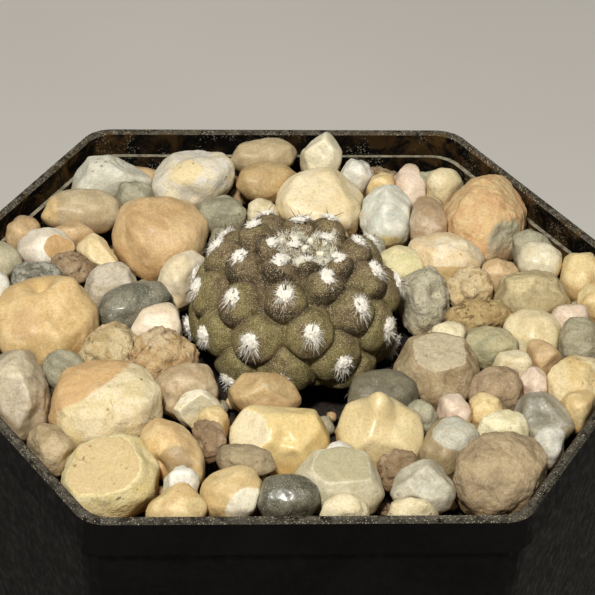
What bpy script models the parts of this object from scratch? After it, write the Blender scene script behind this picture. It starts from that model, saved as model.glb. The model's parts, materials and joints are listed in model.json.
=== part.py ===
"""Potted eriosyce cactus in a six-sided plastic pot, top-dressed with river stones.

Lengths below are in millimetres and become metres when a mesh is made. Z is up, the origin is
at the middle of the pot's foot, and two corners of the pot lie on the X axis.
"""
import math
from collections import namedtuple

import bmesh
import bpy
import numpy as np
from mathutils import Matrix, Vector

MM = 0.001
GAP = 0.3

# Pot
POT_HEIGHT = 62.0
RIM_APOTHEM = 40.0
SIDES = 6
WALL = 1.2
COLLAR_INSIDE = 3.2
COLLAR_OUTSIDE = 4.4
LEDGE = 0.55
FOOT_APOTHEM = 34.5
FOOT_WIDTH = 1.8
FLOOR_UNDERSIDE = 2.0
FLOOR_TOP = 3.4
RIM_CHAMFER = 0.3
CORNER_BEVEL = 1.8
CORNER_SEGMENTS = 3
DRAIN_RADIUS = 1.9
DRAIN_SIDES = 8
DRAIN_CIRCLE = 20.0
NOTCH_WIDTH = 8.0
NOTCH_HEIGHT = 1.5

# Layers under the stones, as heights above the foot
BED_TOP = POT_HEIGHT - 6.0
BED_BOTTOM = POT_HEIGHT - 9.0
SOIL_TOP = BED_BOTTOM - GAP
STONE_WALL_GAP = 0.5
BED_ROOT = 1.0
SMALL_STONE_SUNK = 3.0
LEAST_DEPTH = 0.2

# Stones: how far they swell towards their neighbours, how square their sections are, how sharp
# the edges between their faces are, and how far they may tip
FULLNESS = 1.08
ROUNDNESS = 2.4
BLEND = 18.0
STONE_TILT = 0.14
DOME_SHARE = 0.9

# Cactus body: an ellipsoid with a sunken crown, on a taproot
BODY_X = 0.7
BODY_Y = 0.0
BODY_Z = POT_HEIGHT + 0.6
BODY_RADIUS = 9.9
BODY_RISE = 7.8
BODY_DROP = 10.0
BODY_END = math.radians(150)
CROWN_SINK = 3.8
CROWN_WIDTH = 0.4
BED_HOLE_RADIUS = 11.4
ROOT_HOLE_RADIUS = 2.8
ROOT_HOLE_DEPTH = 11.0
# Radius and height of the taproot's rings, about the body's middle
ROOT_PROFILE = [(2.6, -9.7), (2.3, -14.5), (1.1, -19.1), (0.0, -19.5)]
# The stones keep out of a larger ellipsoid round the body
CLEARING_Z = POT_HEIGHT + 0.1
CLEARING_RADIUS = 13.3
CLEARING_RISE = 12.3

# Tubercles in one spiral from the crown, each with an areole above its middle
AREOLE_COUNT = 48
AREOLE_END = math.radians(122)
GOLDEN_ANGLE = math.radians(137.5)
FIRST_AREOLE = math.radians(129)
AXIS_LEAN = (-0.07, 0.11)
REACH_AT_30 = 1.66
CROWN_OFFSET = 3.0
SPREAD_POWER = 0.87
# A tubercle's size is a share of the distance to its nearest neighbours, and its middle lies
# below its areole by a share of its size
NEIGHBOURS = 4
PACKING = 0.95
CHIN_SHARE = 0.16
TUBERCLE_HEIGHT = 0.52
DOME_REACH = 0.56
UPPER_FLANK = 0.84
LOWER_FLANK = 1.2
RELIEF_END = math.radians(132)
RELIEF_FADE = math.radians(18)
# The body's mesh has points on the tubercles' tops, on the creases between neighbours and on
# an even spiral that fills in the rest, none closer together than the least spacing
NEIGHBOUR_REACH = 1.4
CREASE_TOLERANCE = 0.02
FILL_POINTS = 1150
FILL_ANGLE = math.radians(137.508)
LEAST_SPACING = 0.62
ROOT_RING_POINTS = 10

# Areole cushions and spines
FULL_SPACING = 5.0
PAD_RADIUS = 0.95
PAD_SIDES = 7
PAD_TOP = 0.55
PAD_DEPTH = 0.9
NEEDLES = 5
NEEDLE_LENGTH = 1.7
NEEDLE_RADIUS = 0.16
NEEDLE_SUNK = 0.5
NEEDLE_LIFT = (0.45, 0.9)
LOW_LIFT = 0.12
LOW_AREOLE = 4.0

# Colours, roughness
LOOKS = {
    "black_plastic": ((0.012, 0.012, 0.012), 0.45),
    "potting_mix": ((0.035, 0.024, 0.016), 0.95),
    "grit": ((0.16, 0.13, 0.09), 0.9),
    "cactus_skin": ((0.12, 0.115, 0.06), 0.55),
    "white": ((0.78, 0.76, 0.70), 0.6),
    "cream": ((0.80, 0.70, 0.48), 0.6),
    "wax": ((0.80, 0.62, 0.25), 0.4),
    "yellow": ((0.78, 0.60, 0.28), 0.55),
    "orange": ((0.66, 0.44, 0.20), 0.55),
    "tan": ((0.52, 0.40, 0.24), 0.6),
    "brown": ((0.33, 0.24, 0.14), 0.65),
    "pink": ((0.56, 0.42, 0.32), 0.6),
    "grey": ((0.33, 0.30, 0.24), 0.6),
    "pale_grey": ((0.52, 0.48, 0.38), 0.6),
    "slate": ((0.13, 0.13, 0.10), 0.5),
    "granite": ((0.40, 0.38, 0.32), 0.7),
}

# One stone: place of its middle (z from the rim's top), length, width, height and heading in
# degrees, how angular it is from 0 to 1, and its look
Stone = namedtuple("Stone", "x y z length width height heading angular look")

# The larger stones, from the back of the pot to the front
PEBBLES = [
    Stone(-1.5, 35.3, -1.5, 9.0, 4.6, 4.2, 14, 0.1, "tan"),
    Stone(5.7, 34.0, -0.8, 5.0, 4.6, 7.0, 0, 0.7, "cream"),
    Stone(-20.5, 30.4, -1.8, 11.6, 6.6, 5.2, -8, 0.4, "white"),
    Stone(-11.0, 30.4, -1.8, 12.0, 9.0, 6.2, 4, 0.5, "cream"),
    Stone(-1.2, 29.5, -1.6, 8.0, 5.2, 4.2, 18, 0.1, "orange"),
    Stone(5.1, 25.2, -2.0, 11.6, 9.6, 6.8, 0, 0.3, "cream"),
    Stone(13.3, 21.8, -2.0, 6.6, 9.2, 7.2, 10, 0.5, "white"),
    Stone(18.0, 19.8, -1.8, 5.2, 7.6, 5.4, 0, 0.3, "pink"),
    Stone(25.1, 20.8, -2.2, 12.6, 13.4, 9.2, -20, 0.5, "orange"),
    Stone(-24.0, 22.4, -1.5, 11.2, 5.6, 4.8, 12, 0.1, "tan"),
    Stone(-14.6, 17.0, -2.0, 11.6, 11.2, 8.6, -12, 0.2, "orange"),
    Stone(-28.3, 14.4, -1.5, 7.6, 5.2, 4.4, 0, 0.4, "white"),
    Stone(-22.5, 13.2, -1.5, 8.0, 3.8, 3.8, -55, 0.6, "yellow"),
    Stone(-34.4, 11.3, -1.5, 6.6, 5.0, 4.0, 20, 0.2, "pale_grey"),
    Stone(19.3, 11.8, -1.8, 10.6, 8.2, 5.8, 6, 0.3, "cream"),
    Stone(14.2, 9.8, -1.8, 6.0, 7.0, 5.4, 30, 0.2, "cream"),
    Stone(30.9, 11.4, -1.5, 5.2, 4.8, 4.4, 0, 0.1, "white"),
    Stone(-29.3, 7.2, -1.5, 6.0, 5.0, 4.0, 0, 0.6, "granite"),
    Stone(-20.7, 6.0, -1.6, 6.8, 6.8, 4.8, 20, 0.6, "pale_grey"),
    Stone(-12.0, 8.0, -2.0, 7.2, 5.0, 6.6, 60, 0.3, "cream"),
    Stone(21.8, 5.4, -1.5, 6.2, 5.8, 4.2, 0, 0.4, "tan"),
    Stone(29.1, 4.2, -1.7, 11.6, 7.2, 5.4, -8, 0.3, "tan"),
    Stone(16.0, 3.6, -2.0, 8.6, 6.0, 6.8, 80, 0.4, "slate"),
    Stone(-27.9, -1.0, -2.4, 12.2, 13.4, 9.6, 0, 0.3, "yellow"),
    Stone(-18.0, 2.1, -1.8, 9.6, 6.2, 5.2, 20, 0.1, "slate"),
    Stone(-14.6, -1.8, -1.5, 7.6, 5.6, 4.4, 12, 0.3, "cream"),
    Stone(22.4, -0.5, -1.5, 9.6, 4.2, 3.8, 12, 0.1, "orange"),
    Stone(28.2, -4.1, -1.7, 7.2, 6.8, 5.2, 0, 0.2, "yellow"),
    Stone(33.4, -5.2, -1.8, 5.2, 6.2, 5.2, 0, 0.3, "grey"),
    Stone(22.8, -6.6, -1.6, 7.0, 5.2, 4.4, 0, 0.4, "grey"),
    Stone(-20.7, -6.8, -1.7, 7.0, 6.6, 5.4, 40, 0.7, "tan"),
    Stone(-14.7, -8.6, -1.9, 8.2, 8.2, 6.8, 15, 0.7, "brown"),
    Stone(16.5, -10.8, -2.0, 10.2, 9.4, 7.6, -10, 0.4, "brown"),
    Stone(22.8, -15.0, -1.7, 6.2, 6.0, 5.4, 0, 0.3, "pink"),
    Stone(31.6, -13.4, -1.7, 7.6, 6.6, 5.4, 0, 0.5, "cream"),
    Stone(-31.2, -15.0, -2.0, 12.2, 7.4, 8.8, 105, 0.6, "pink"),
    Stone(-21.1, -17.6, -2.0, 12.6, 11.0, 8.8, 0, 0.2, "yellow"),
    Stone(-12.2, -14.4, -1.7, 7.4, 6.2, 5.4, 10, 0.3, "white"),
    Stone(-11.0, -18.2, -1.3, 6.2, 4.2, 3.8, 20, 0.7, "cream"),
    Stone(-3.8, -15.6, -1.6, 10.2, 4.8, 4.8, -4, 0.7, "tan"),
    Stone(9.9, -15.8, -1.6, 8.2, 6.0, 5.0, 22, 0.2, "grey"),
    Stone(-2.1, -23.2, -1.9, 13.2, 8.6, 6.8, -3, 0.6, "wax"),
    Stone(9.4, -23.0, -1.9, 10.8, 8.8, 7.4, -12, 0.6, "wax"),
    Stone(16.5, -25.8, -1.8, 8.2, 6.4, 6.6, 75, 0.4, "grey"),
    Stone(26.9, -20.6, -1.7, 7.8, 7.2, 5.8, -25, 0.7, "grey"),
    Stone(22.9, -22.2, -1.4, 6.6, 4.2, 3.6, 5, 0.3, "white"),
    Stone(-27.1, -25.4, -1.6, 6.0, 4.6, 4.8, -50, 0.3, "tan"),
    Stone(-13.9, -25.8, -1.7, 9.6, 5.4, 5.8, -58, 0.4, "orange"),
    Stone(-20.4, -29.9, -2.0, 12.0, 9.6, 7.6, 8, 0.5, "yellow"),
    Stone(-6.2, -28.0, -1.2, 7.6, 3.4, 3.0, -22, 0.2, "grey"),
    Stone(4.0, -31.0, -1.8, 9.8, 7.6, 6.4, 0, 0.3, "pale_grey"),
    Stone(21.5, -29.8, -2.0, 11.6, 9.6, 8.0, 10, 0.1, "brown"),
    Stone(13.0, -32.2, -1.7, 7.0, 6.2, 5.4, 30, 0.6, "white"),
    Stone(-7.5, -33.2, -1.6, 7.6, 5.6, 4.8, -8, 0.3, "tan"),
    Stone(-1.9, -34.4, -1.3, 7.2, 4.6, 4.4, -5, 0.1, "slate"),
    Stone(40.6, 0.4, -1.8, 7.4, 6.6, 5.4, 90, 0.3, "tan"),
]

# A smaller stone that stands in the bed: its place, its top's height from the rim's top, length,
# width, heading in degrees and how angular it is
SmallStone = namedtuple("SmallStone", "x y top length width heading angular")

# Smaller stones that fill in between the larger ones, behind the cactus and at the pot's ends
SMALL_STONES = [
    SmallStone(10.2, 31.6, 0.2, 4.4, 4.2, 0, 0.3),
    SmallStone(13.2, 28.6, 0.3, 4.0, 4.0, 0, 0.3),
    SmallStone(16.4, 28.6, 0.7, 5.2, 5.6, 0, 0.2),
    SmallStone(20.6, 28.6, 0.6, 5.2, 5.0, 0, 0.2),
    SmallStone(13.5, 34.8, -3.4, 6.0, 4.6, 0, 0.3),
    SmallStone(19.5, 34.0, -3.2, 5.6, 5.0, 0, 0.3),
    SmallStone(-9.5, 36.2, -3.6, 7.0, 3.6, 0, 0.3),
    SmallStone(-17.5, 35.6, -3.4, 6.6, 4.0, 0, 0.3),
    SmallStone(-6.9, 22.2, 0.5, 6.8, 4.4, 0, 0.4),
    SmallStone(-2.2, 22.4, 0.2, 4.2, 4.0, 0, 0.4),
    SmallStone(-17.8, 25.2, 0.7, 4.6, 4.0, 0, 0.6),
    SmallStone(-6.4, 15.8, 0.0, 5.4, 5.0, 0, 0.4),
    SmallStone(-0.6, 17.0, 0.0, 5.8, 5.0, 0, 0.4),
    SmallStone(5.4, 16.8, 0.0, 5.8, 5.2, 0, 0.4),
    SmallStone(10.6, 14.4, 0.0, 4.6, 4.6, 0, 0.4),
    SmallStone(-31.4, 18.4, 0.0, 4.4, 4.6, 0, 0.4),
    SmallStone(-25.2, 9.8, 0.5, 5.0, 3.8, 0, 0.4),
    SmallStone(-34.4, 4.8, 0.5, 5.4, 5.0, 0, 0.3),
    SmallStone(-39.6, 4.6, 0.6, 6.0, 5.4, 60, 0.3),
    SmallStone(-39.4, -1.4, 0.7, 6.4, 6.0, 0, 0.3),
    SmallStone(-36.2, -7.6, 0.7, 5.8, 6.4, 0, 0.3),
    SmallStone(25.2, -10.4, 0.5, 5.2, 3.8, 0, 0.4),
    SmallStone(28.6, -9.4, 0.8, 5.4, 3.6, -45, 0.4),
    SmallStone(27.2, -14.0, 0.5, 3.8, 3.8, 0, 0.4),
    SmallStone(18.2, -4.6, 0.4, 4.6, 3.8, 0, 0.5),
    SmallStone(13.8, -20.0, 0.4, 3.8, 3.6, 0, 0.3),
    SmallStone(17.6, -19.6, 0.8, 4.4, 3.8, 0, 0.3),
    SmallStone(21.0, -19.2, 0.8, 4.4, 3.8, 0, 0.5),
    SmallStone(31.8, -18.4, 0.6, 4.8, 4.6, 60, 0.4),
    SmallStone(27.6, -25.4, 0.6, 4.2, 4.0, 60, 0.4),
    SmallStone(-9.2, -21.2, 0.5, 4.2, 3.4, -60, 0.3),
    SmallStone(-9.6, -24.6, 0.8, 6.0, 3.2, -60, 0.3),
    SmallStone(4.2, -26.6, -0.2, 3.8, 3.4, 0, 0.3),
    SmallStone(10.6, -28.6, 0.1, 4.2, 3.4, 0, 0.3),
    SmallStone(11.4, -36.6, 0.0, 6.0, 3.6, 0, 0.3),
    SmallStone(-13.4, -35.2, 0.4, 6.2, 5.0, 0, 0.3),
    SmallStone(-13.0, -31.8, 0.5, 4.2, 3.8, 0, 0.5),
    SmallStone(4.4, -36.6, 0.3, 5.2, 3.4, 0, 0.3),
    SmallStone(35.6, 9.4, 0.5, 5.0, 6.4, 0, 0.3),
    SmallStone(36.4, 3.0, 0.5, 4.6, 5.2, 0, 0.3),
    SmallStone(38.6, -5.6, 0.6, 5.6, 6.4, 0, 0.3),
    SmallStone(32.8, -0.6, 0.2, 4.6, 4.0, 0, 0.3),
    SmallStone(25.6, 9.2, 0.2, 4.4, 4.2, 0, 0.3),
    SmallStone(30.2, 16.0, -0.1, 4.8, 4.6, 0, 0.3),
    SmallStone(-25.8, -10.0, 0.0, 5.0, 4.6, 0, 0.3),
    SmallStone(-25.2, 17.6, -0.1, 6.0, 3.6, 0, 0.3),
]


def new_collection(name, is_cutter=False):
    collection = bpy.data.collections.new(name)
    bpy.context.scene.collection.children.link(collection)
    collection.hide_render = is_cutter
    return collection


def look_material(look):
    if look in bpy.data.materials:
        return bpy.data.materials[look]
    material = bpy.data.materials.new(look)
    material.use_nodes = True
    shader = material.node_tree.nodes["Principled BSDF"]
    colour, roughness = LOOKS[look]
    shader.inputs["Base Color"].default_value = (*colour, 1.0)
    shader.inputs["Roughness"].default_value = roughness
    shader.inputs["Metallic"].default_value = 0.0
    return material


def mesh_object(name, bm, collection, look=None, smooth_angle=None):
    """Turn a bmesh drawn in millimetres into an object in metres."""
    bmesh.ops.scale(bm, vec=(MM, MM, MM), verts=bm.verts)
    bmesh.ops.recalc_face_normals(bm, faces=bm.faces)
    mesh = bpy.data.meshes.new(name)
    bm.to_mesh(mesh)
    bm.free()
    if smooth_angle is not None:
        mesh.shade_smooth()
        mesh.set_sharp_from_angle(angle=math.radians(smooth_angle))
    made = bpy.data.objects.new(name, mesh)
    collection.objects.link(made)
    if look:
        mesh.materials.append(look_material(look))
    else:
        made.hide_render = True
        made.display_type = "WIRE"
    return made


def apply_boolean(target, operation, collection, solver="EXACT"):
    """Cut or join a whole collection, keep the result in the mesh and remove the collection."""
    modifier = target.modifiers.new(operation.lower(), "BOOLEAN")
    modifier.operation = operation
    modifier.operand_type = "COLLECTION"
    modifier.collection = collection
    modifier.solver = solver
    depsgraph = bpy.context.evaluated_depsgraph_get()
    joined = bpy.data.meshes.new_from_object(target.evaluated_get(depsgraph))
    target.modifiers.remove(modifier)
    old = target.data
    target.data = joined
    bpy.data.meshes.remove(old)
    for tool in list(collection.objects):
        bpy.data.objects.remove(tool)
    bpy.data.collections.remove(collection)


def outer_apothem(z):
    """Half the width across flats of the wall's outer face under the collar."""
    ledge_z = POT_HEIGHT - COLLAR_INSIDE
    top = RIM_APOTHEM - LEDGE
    return FOOT_APOTHEM + (top - FOOT_APOTHEM) * z / ledge_z


def inner_apothem(z):
    return outer_apothem(z) - WALL


def six_sided(profile):
    """Spin a profile of (apothem, z) points in six steps and round the upright corners."""
    bm = bmesh.new()
    reach = 1.0 / math.cos(math.pi / SIDES)
    points = [bm.verts.new((apothem * reach, 0.0, z)) for apothem, z in profile]
    edges = [bm.edges.new(pair) for pair in zip(points, points[1:])]
    if profile[0][0] > 0.0:
        edges.append(bm.edges.new((points[-1], points[0])))
    bmesh.ops.spin(bm, geom=points + edges, cent=(0, 0, 0), axis=(0, 0, 1),
                   angle=math.tau, steps=SIDES, use_merge=True)
    bmesh.ops.remove_doubles(bm, verts=bm.verts, dist=0.001)
    bmesh.ops.recalc_face_normals(bm, faces=bm.faces)
    corners = [edge for edge in bm.edges if is_corner(edge)]
    bmesh.ops.bevel(bm, geom=corners, offset=CORNER_BEVEL, offset_type="OFFSET",
                    segments=CORNER_SEGMENTS, profile=0.5, affect="EDGES")
    bmesh.ops.remove_doubles(bm, verts=bm.verts, dist=0.001)
    return bm


def is_corner(edge):
    """True for an edge that lies in one upright plane through the axis, clear of the axis."""
    first, second = (vert.co.xy for vert in edge.verts)
    if first.length < 1.0 or second.length < 1.0:
        return False
    return abs(first.normalized().cross(second.normalized())) < 0.01


def cylinder(radius, bottom, top, sides, x=0.0, y=0.0):
    bm = bmesh.new()
    middle = Matrix.Translation((x, y, (bottom + top) / 2))
    bmesh.ops.create_cone(bm, cap_ends=True, segments=sides, radius1=radius, radius2=radius,
                          depth=top - bottom, matrix=middle)
    return bm


def make_pot(parts):
    """One thin shell: rim band, stacking ledge, tapered walls, floor and foot ring."""
    ledge_z = POT_HEIGHT - COLLAR_INSIDE
    collar_z = POT_HEIGHT - COLLAR_OUTSIDE
    rim_inside = RIM_APOTHEM - WALL
    foot_inside = FOOT_APOTHEM - FOOT_WIDTH
    bm = six_sided([
        (0.0, FLOOR_TOP),
        (inner_apothem(FLOOR_TOP), FLOOR_TOP),
        (inner_apothem(ledge_z), ledge_z),
        (rim_inside, ledge_z),
        (rim_inside, POT_HEIGHT - RIM_CHAMFER),
        (rim_inside + RIM_CHAMFER, POT_HEIGHT),
        (RIM_APOTHEM - RIM_CHAMFER, POT_HEIGHT),
        (RIM_APOTHEM, POT_HEIGHT - RIM_CHAMFER),
        (RIM_APOTHEM, collar_z),
        (outer_apothem(collar_z), collar_z),
        (FOOT_APOTHEM, 0.0),
        (foot_inside, 0.0),
        (foot_inside, FLOOR_UNDERSIDE),
        (0.0, FLOOR_UNDERSIDE),
    ])
    pot = mesh_object("pot", bm, parts, "black_plastic", smooth_angle=35)
    cutters = new_collection("pot_cutters", is_cutter=True)
    spots = [(0.0, 0.0)]
    for step in range(SIDES):
        angle = math.tau * step / SIDES
        spots.append((DRAIN_CIRCLE * math.cos(angle), DRAIN_CIRCLE * math.sin(angle)))
    for number, (x, y) in enumerate(spots):
        hole = cylinder(DRAIN_RADIUS, 0.5, FLOOR_TOP + 1.0, DRAIN_SIDES, x, y)
        mesh_object(f"drain_{number}", hole, cutters)
    for number in range(SIDES // 2):
        notch = bmesh.new()
        turn = Matrix.Rotation(math.tau * number / SIDES, 4, "Z")
        size = Matrix.Diagonal((NOTCH_WIDTH, 3 * RIM_APOTHEM, 2 * NOTCH_HEIGHT, 1.0))
        bmesh.ops.create_cube(notch, size=1.0, matrix=turn @ size)
        mesh_object(f"notch_{number}", notch, cutters)
    apply_boolean(pot, "DIFFERENCE", cutters)


def make_soil(parts):
    """The plug of potting mix, with a plain hole for the taproot."""
    bottom = FLOOR_TOP + GAP
    bm = six_sided([
        (0.0, bottom),
        (inner_apothem(bottom) - GAP, bottom),
        (inner_apothem(SOIL_TOP) - GAP, SOIL_TOP),
        (0.0, SOIL_TOP),
    ])
    soil = mesh_object("soil", bm, parts, "potting_mix")
    cutters = new_collection("soil_cutters", is_cutter=True)
    hole = cylinder(ROOT_HOLE_RADIUS, SOIL_TOP - ROOT_HOLE_DEPTH, SOIL_TOP + 1.0, 24,
                    BODY_X, BODY_Y)
    mesh_object("root_hole", hole, cutters)
    apply_boolean(soil, "DIFFERENCE", cutters)


def turned(heading, pitch, roll):
    matrix = (Matrix.Rotation(heading, 3, "Z") @ Matrix.Rotation(pitch, 3, "Y")
              @ Matrix.Rotation(roll, 3, "X"))
    return np.array(matrix)


class Solid:
    """A stone's rounded shape, its flats and the planes that keep it clear of its neighbours."""

    def __init__(self, stone, seed, foot=None):
        rng = np.random.default_rng(seed)
        tilt = rng.uniform(-STONE_TILT, STONE_TILT, 2)
        turn = turned(math.radians(stone.heading), *tilt)
        self.centre = np.array([stone.x, stone.y, POT_HEIGHT + stone.z])
        half = FULLNESS * np.array([stone.length, stone.width, stone.height]) / 2
        self.axes = turn / half
        self.stands = foot is not None
        self.drop = half[2] / (self.centre[2] - foot) if self.stands else 1.0
        self.spread = turn @ np.diag(half ** 2) @ turn.T
        self.planes = []
        self.add_flats(rng, stone.angular)

    def reach(self, normal):
        """How far the ellipsoid reaches from its centre along a unit normal."""
        return math.sqrt(normal @ self.spread @ normal)

    def add_flats(self, rng, angular):
        """Worn flats, cut at a share of the ellipsoid's reach, on top of a standing stone."""
        for _ in range(4 + int(6 * angular)):
            across = rng.normal(size=3)
            across /= np.linalg.norm(across)
            share = rng.uniform(0.99 - 0.24 * angular, 1.02)
            normal = self.axes @ across
            if self.stands:
                normal[2] = abs(normal[2])
            size = np.linalg.norm(normal)
            self.planes.append((normal / size, share / size))

    def keep_behind(self, normal, point):
        """Keep the stone on the near side of a plane through a point."""
        distance = float(normal @ (point - self.centre))
        if distance < LEAST_DEPTH:
            raise ValueError(f"the stone at {self.centre} has its middle outside its limits")
        self.planes.append((normal, distance))

    def radii(self, directions):
        """Distance from the centre to the surface: a smooth minimum over all the limits."""
        along = np.abs(directions @ self.axes)
        along[:, 2] *= np.where(directions[:, 2] < 0.0, self.drop, 1.0)
        inward = (along ** ROUNDNESS).sum(axis=1) ** (1.0 / ROUNDNESS)
        total = inward ** BLEND
        for normal, distance in self.planes:
            facing = np.maximum(directions @ normal, 0.0)
            total += (facing / distance) ** BLEND
        return total ** (-1.0 / BLEND)


def separate(first, second):
    """Share the room between two stones by a plane that both keep clear of.

    The plane is upright beside a standing stone, whose lower half runs down into the bed.
    """
    across = second.centre - first.centre
    normal = np.linalg.solve(first.spread + second.spread, across)
    if first.stands or second.stands:
        normal[2] = 0.0
    normal /= np.linalg.norm(normal)
    distance = float(normal @ across)
    reach_first = first.reach(normal)
    reach_second = second.reach(normal)
    if distance > 1.3 * (reach_first + reach_second) + GAP:
        return
    middle = distance * reach_first / (reach_first + reach_second)
    first.planes.append((normal, middle - GAP / 2))
    second.planes.append((-normal, distance - middle - GAP / 2))


def keep_in_pot(solid):
    """Six wall planes, as far up and down as the wall's slope runs."""
    slope = math.atan((outer_apothem(1.0) - outer_apothem(0.0)) / 1.0)
    for side in range(SIDES):
        angle = math.tau * (side + 0.5) / SIDES
        normal = np.array([math.cos(angle) * math.cos(slope),
                           math.sin(angle) * math.cos(slope), -math.sin(slope)])
        wall = inner_apothem(BED_TOP) - STONE_WALL_GAP
        point = np.array([math.cos(angle) * wall, math.sin(angle) * wall, BED_TOP])
        solid.keep_behind(normal, point)


def keep_off_cactus(solid):
    """A plane that touches the cactus's clearance ellipsoid on the stone's side."""
    centre = np.array([BODY_X, BODY_Y, CLEARING_Z])
    body = np.diag([CLEARING_RADIUS ** 2, CLEARING_RADIUS ** 2, CLEARING_RISE ** 2])
    normal = np.linalg.solve(body + solid.spread, centre - solid.centre)
    normal /= np.linalg.norm(normal)
    reach = math.sqrt(normal @ body @ normal)
    solid.keep_behind(normal, centre - normal * (reach + GAP))


def standing(small):
    """A small stone as a full row: a round top, whose lower half runs down into the bed."""
    height = DOME_SHARE * min(small.length, small.width)
    return Stone(small.x, small.y, small.top - height / 2, small.length, small.width,
                 height, small.heading, small.angular, "grit")


def pack_stones():
    """Give every stone its planes, so that none overlaps another, the pot or the cactus."""
    solids = [Solid(stone, seed) for seed, stone in enumerate(PEBBLES)]
    foot = BED_TOP - SMALL_STONE_SUNK
    for seed, small in enumerate(SMALL_STONES, start=len(PEBBLES)):
        solids.append(Solid(standing(small), seed, foot))
    down = np.array([0.0, 0.0, -1.0])
    for number, solid in enumerate(solids):
        is_pebble = number < len(PEBBLES)
        floor = BED_TOP + GAP if is_pebble else BED_TOP - BED_ROOT
        solid.keep_behind(down, np.array([0.0, 0.0, floor]))
        keep_in_pot(solid)
        keep_off_cactus(solid)
        for other in solids[:number]:
            separate(other, solid)
    return solids[:len(PEBBLES)], solids[len(PEBBLES):]


def stone_mesh(solid, subdivisions=2):
    bm = bmesh.new()
    bmesh.ops.create_icosphere(bm, subdivisions=subdivisions, radius=1.0)
    directions = np.array([vert.co.normalized() for vert in bm.verts])
    surface = solid.centre + directions * solid.radii(directions)[:, None]
    for vert, place in zip(bm.verts, surface):
        vert.co = place
    return bm


def make_pebbles(parts, solids):
    for number, (stone, solid) in enumerate(zip(PEBBLES, solids), start=1):
        mesh_object(f"pebble_{number:02d}", stone_mesh(solid), parts, stone.look, 40)


def make_gravel_bed(parts, solids):
    """The layer under the pebbles, with the small stones that stand up out of it."""
    bm = six_sided([
        (0.0, BED_BOTTOM),
        (inner_apothem(BED_BOTTOM) - GAP, BED_BOTTOM),
        (inner_apothem(BED_TOP) - GAP, BED_TOP),
        (0.0, BED_TOP),
    ])
    bed = mesh_object("gravel_bed", bm, parts, "grit")
    cutters = new_collection("bed_cutters", is_cutter=True)
    hole = cylinder(BED_HOLE_RADIUS, BED_BOTTOM - 1.0, BED_TOP + 1.0, 32, BODY_X, BODY_Y)
    mesh_object("body_hole", hole, cutters)
    apply_boolean(bed, "DIFFERENCE", cutters)
    small = new_collection("small_stones")
    for number, solid in enumerate(solids):
        mesh_object(f"small_stone_{number}", stone_mesh(solid), small)
    apply_boolean(bed, "UNION", small)


class Cactus:
    """The body's surface as a formula: an ellipsoid, a sunken crown and spiral tubercles."""

    def __init__(self):
        number = np.arange(AREOLE_COUNT)
        share = (number + CROWN_OFFSET) / (30.0 + CROWN_OFFSET)
        polar = REACH_AT_30 * share ** SPREAD_POWER
        turn = FIRST_AREOLE + GOLDEN_ANGLE * number
        is_open = polar < AREOLE_END
        self.areoles = self.lean(self.direction(polar[is_open], turn[is_open]))
        seats = self.base(self.areoles)
        away = np.linalg.norm(seats[:, None, :] - seats[None, :, :], axis=2)
        nearest = np.sort(away, axis=1)[:, 1:NEIGHBOURS + 1]
        self.spacing = PACKING * nearest.mean(axis=1)
        round_body = np.cross(np.array([0.0, 0.0, 1.0]), seats)
        self.side = round_body / np.linalg.norm(round_body, axis=1)[:, None]
        up = np.cross(seats, self.side)
        self.up = up / np.linalg.norm(up, axis=1)[:, None]
        self.middles = seats - self.up * (CHIN_SHARE * self.spacing)[:, None]

    @staticmethod
    def direction(polar, turn):
        return np.stack([np.sin(polar) * np.cos(turn), np.sin(polar) * np.sin(turn),
                         np.cos(polar)], axis=-1)

    @staticmethod
    def lean(directions):
        """Tip the spiral's axis a little, as the plant leans."""
        tip = turned(0.0, AXIS_LEAN[1], AXIS_LEAN[0])
        return directions @ tip.T

    @staticmethod
    def base(directions):
        """The ellipsoid without relief, about the body's centre."""
        height = np.where(directions[..., 2] > 0.0, BODY_RISE, BODY_DROP)
        scaled = directions * np.stack([np.full_like(height, BODY_RADIUS),
                                        np.full_like(height, BODY_RADIUS), height], axis=-1)
        return scaled

    def shares(self, places):
        """Distance to each tubercle's top by its size: the lower flank is short and steep."""
        away = places[:, None, :] - self.middles[None, :, :]
        climb = (away * self.up[None, :, :]).sum(axis=2)
        stretch = np.where(climb > 0.0, UPPER_FLANK, LOWER_FLANK)
        flat = (away ** 2).sum(axis=2) - climb ** 2
        return np.sqrt(np.maximum(flat, 0.0) + (climb * stretch) ** 2) / self.spacing[None, :]

    def relief(self, places):
        """Height of the tubercles: a dome round each top, with creases where domes meet."""
        shares = self.shares(places)
        nearest = np.argmin(shares, axis=1)
        fall = shares[np.arange(len(places)), nearest]
        dome = np.sqrt(np.maximum(1.0 - (fall / DOME_REACH) ** 2, 0.0))
        return TUBERCLE_HEIGHT * self.spacing[nearest] * dome

    def surface(self, directions):
        """Points and outward normals on the finished surface, about the body's centre."""
        places = self.base(directions)
        normals = directions / np.stack([np.full(len(places), BODY_RADIUS),
                                         np.full(len(places), BODY_RADIUS),
                                         np.full(len(places), BODY_RISE)], axis=-1)
        normals /= np.linalg.norm(normals, axis=1)[:, None]
        crown = self.lean(np.array([[0.0, 0.0, 1.0]]))[0]
        off_crown = np.arccos(np.clip(directions @ crown, -1.0, 1.0))
        sink = CROWN_SINK * np.exp(-(off_crown / CROWN_WIDTH) ** 2)
        polar = np.arccos(np.clip(directions[:, 2], -1.0, 1.0))
        fade = np.clip((RELIEF_END - polar) / RELIEF_FADE, 0.0, 1.0)
        places = places + normals * (self.relief(places) * fade)[:, None]
        places[:, 2] -= sink
        return places, normals


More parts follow.
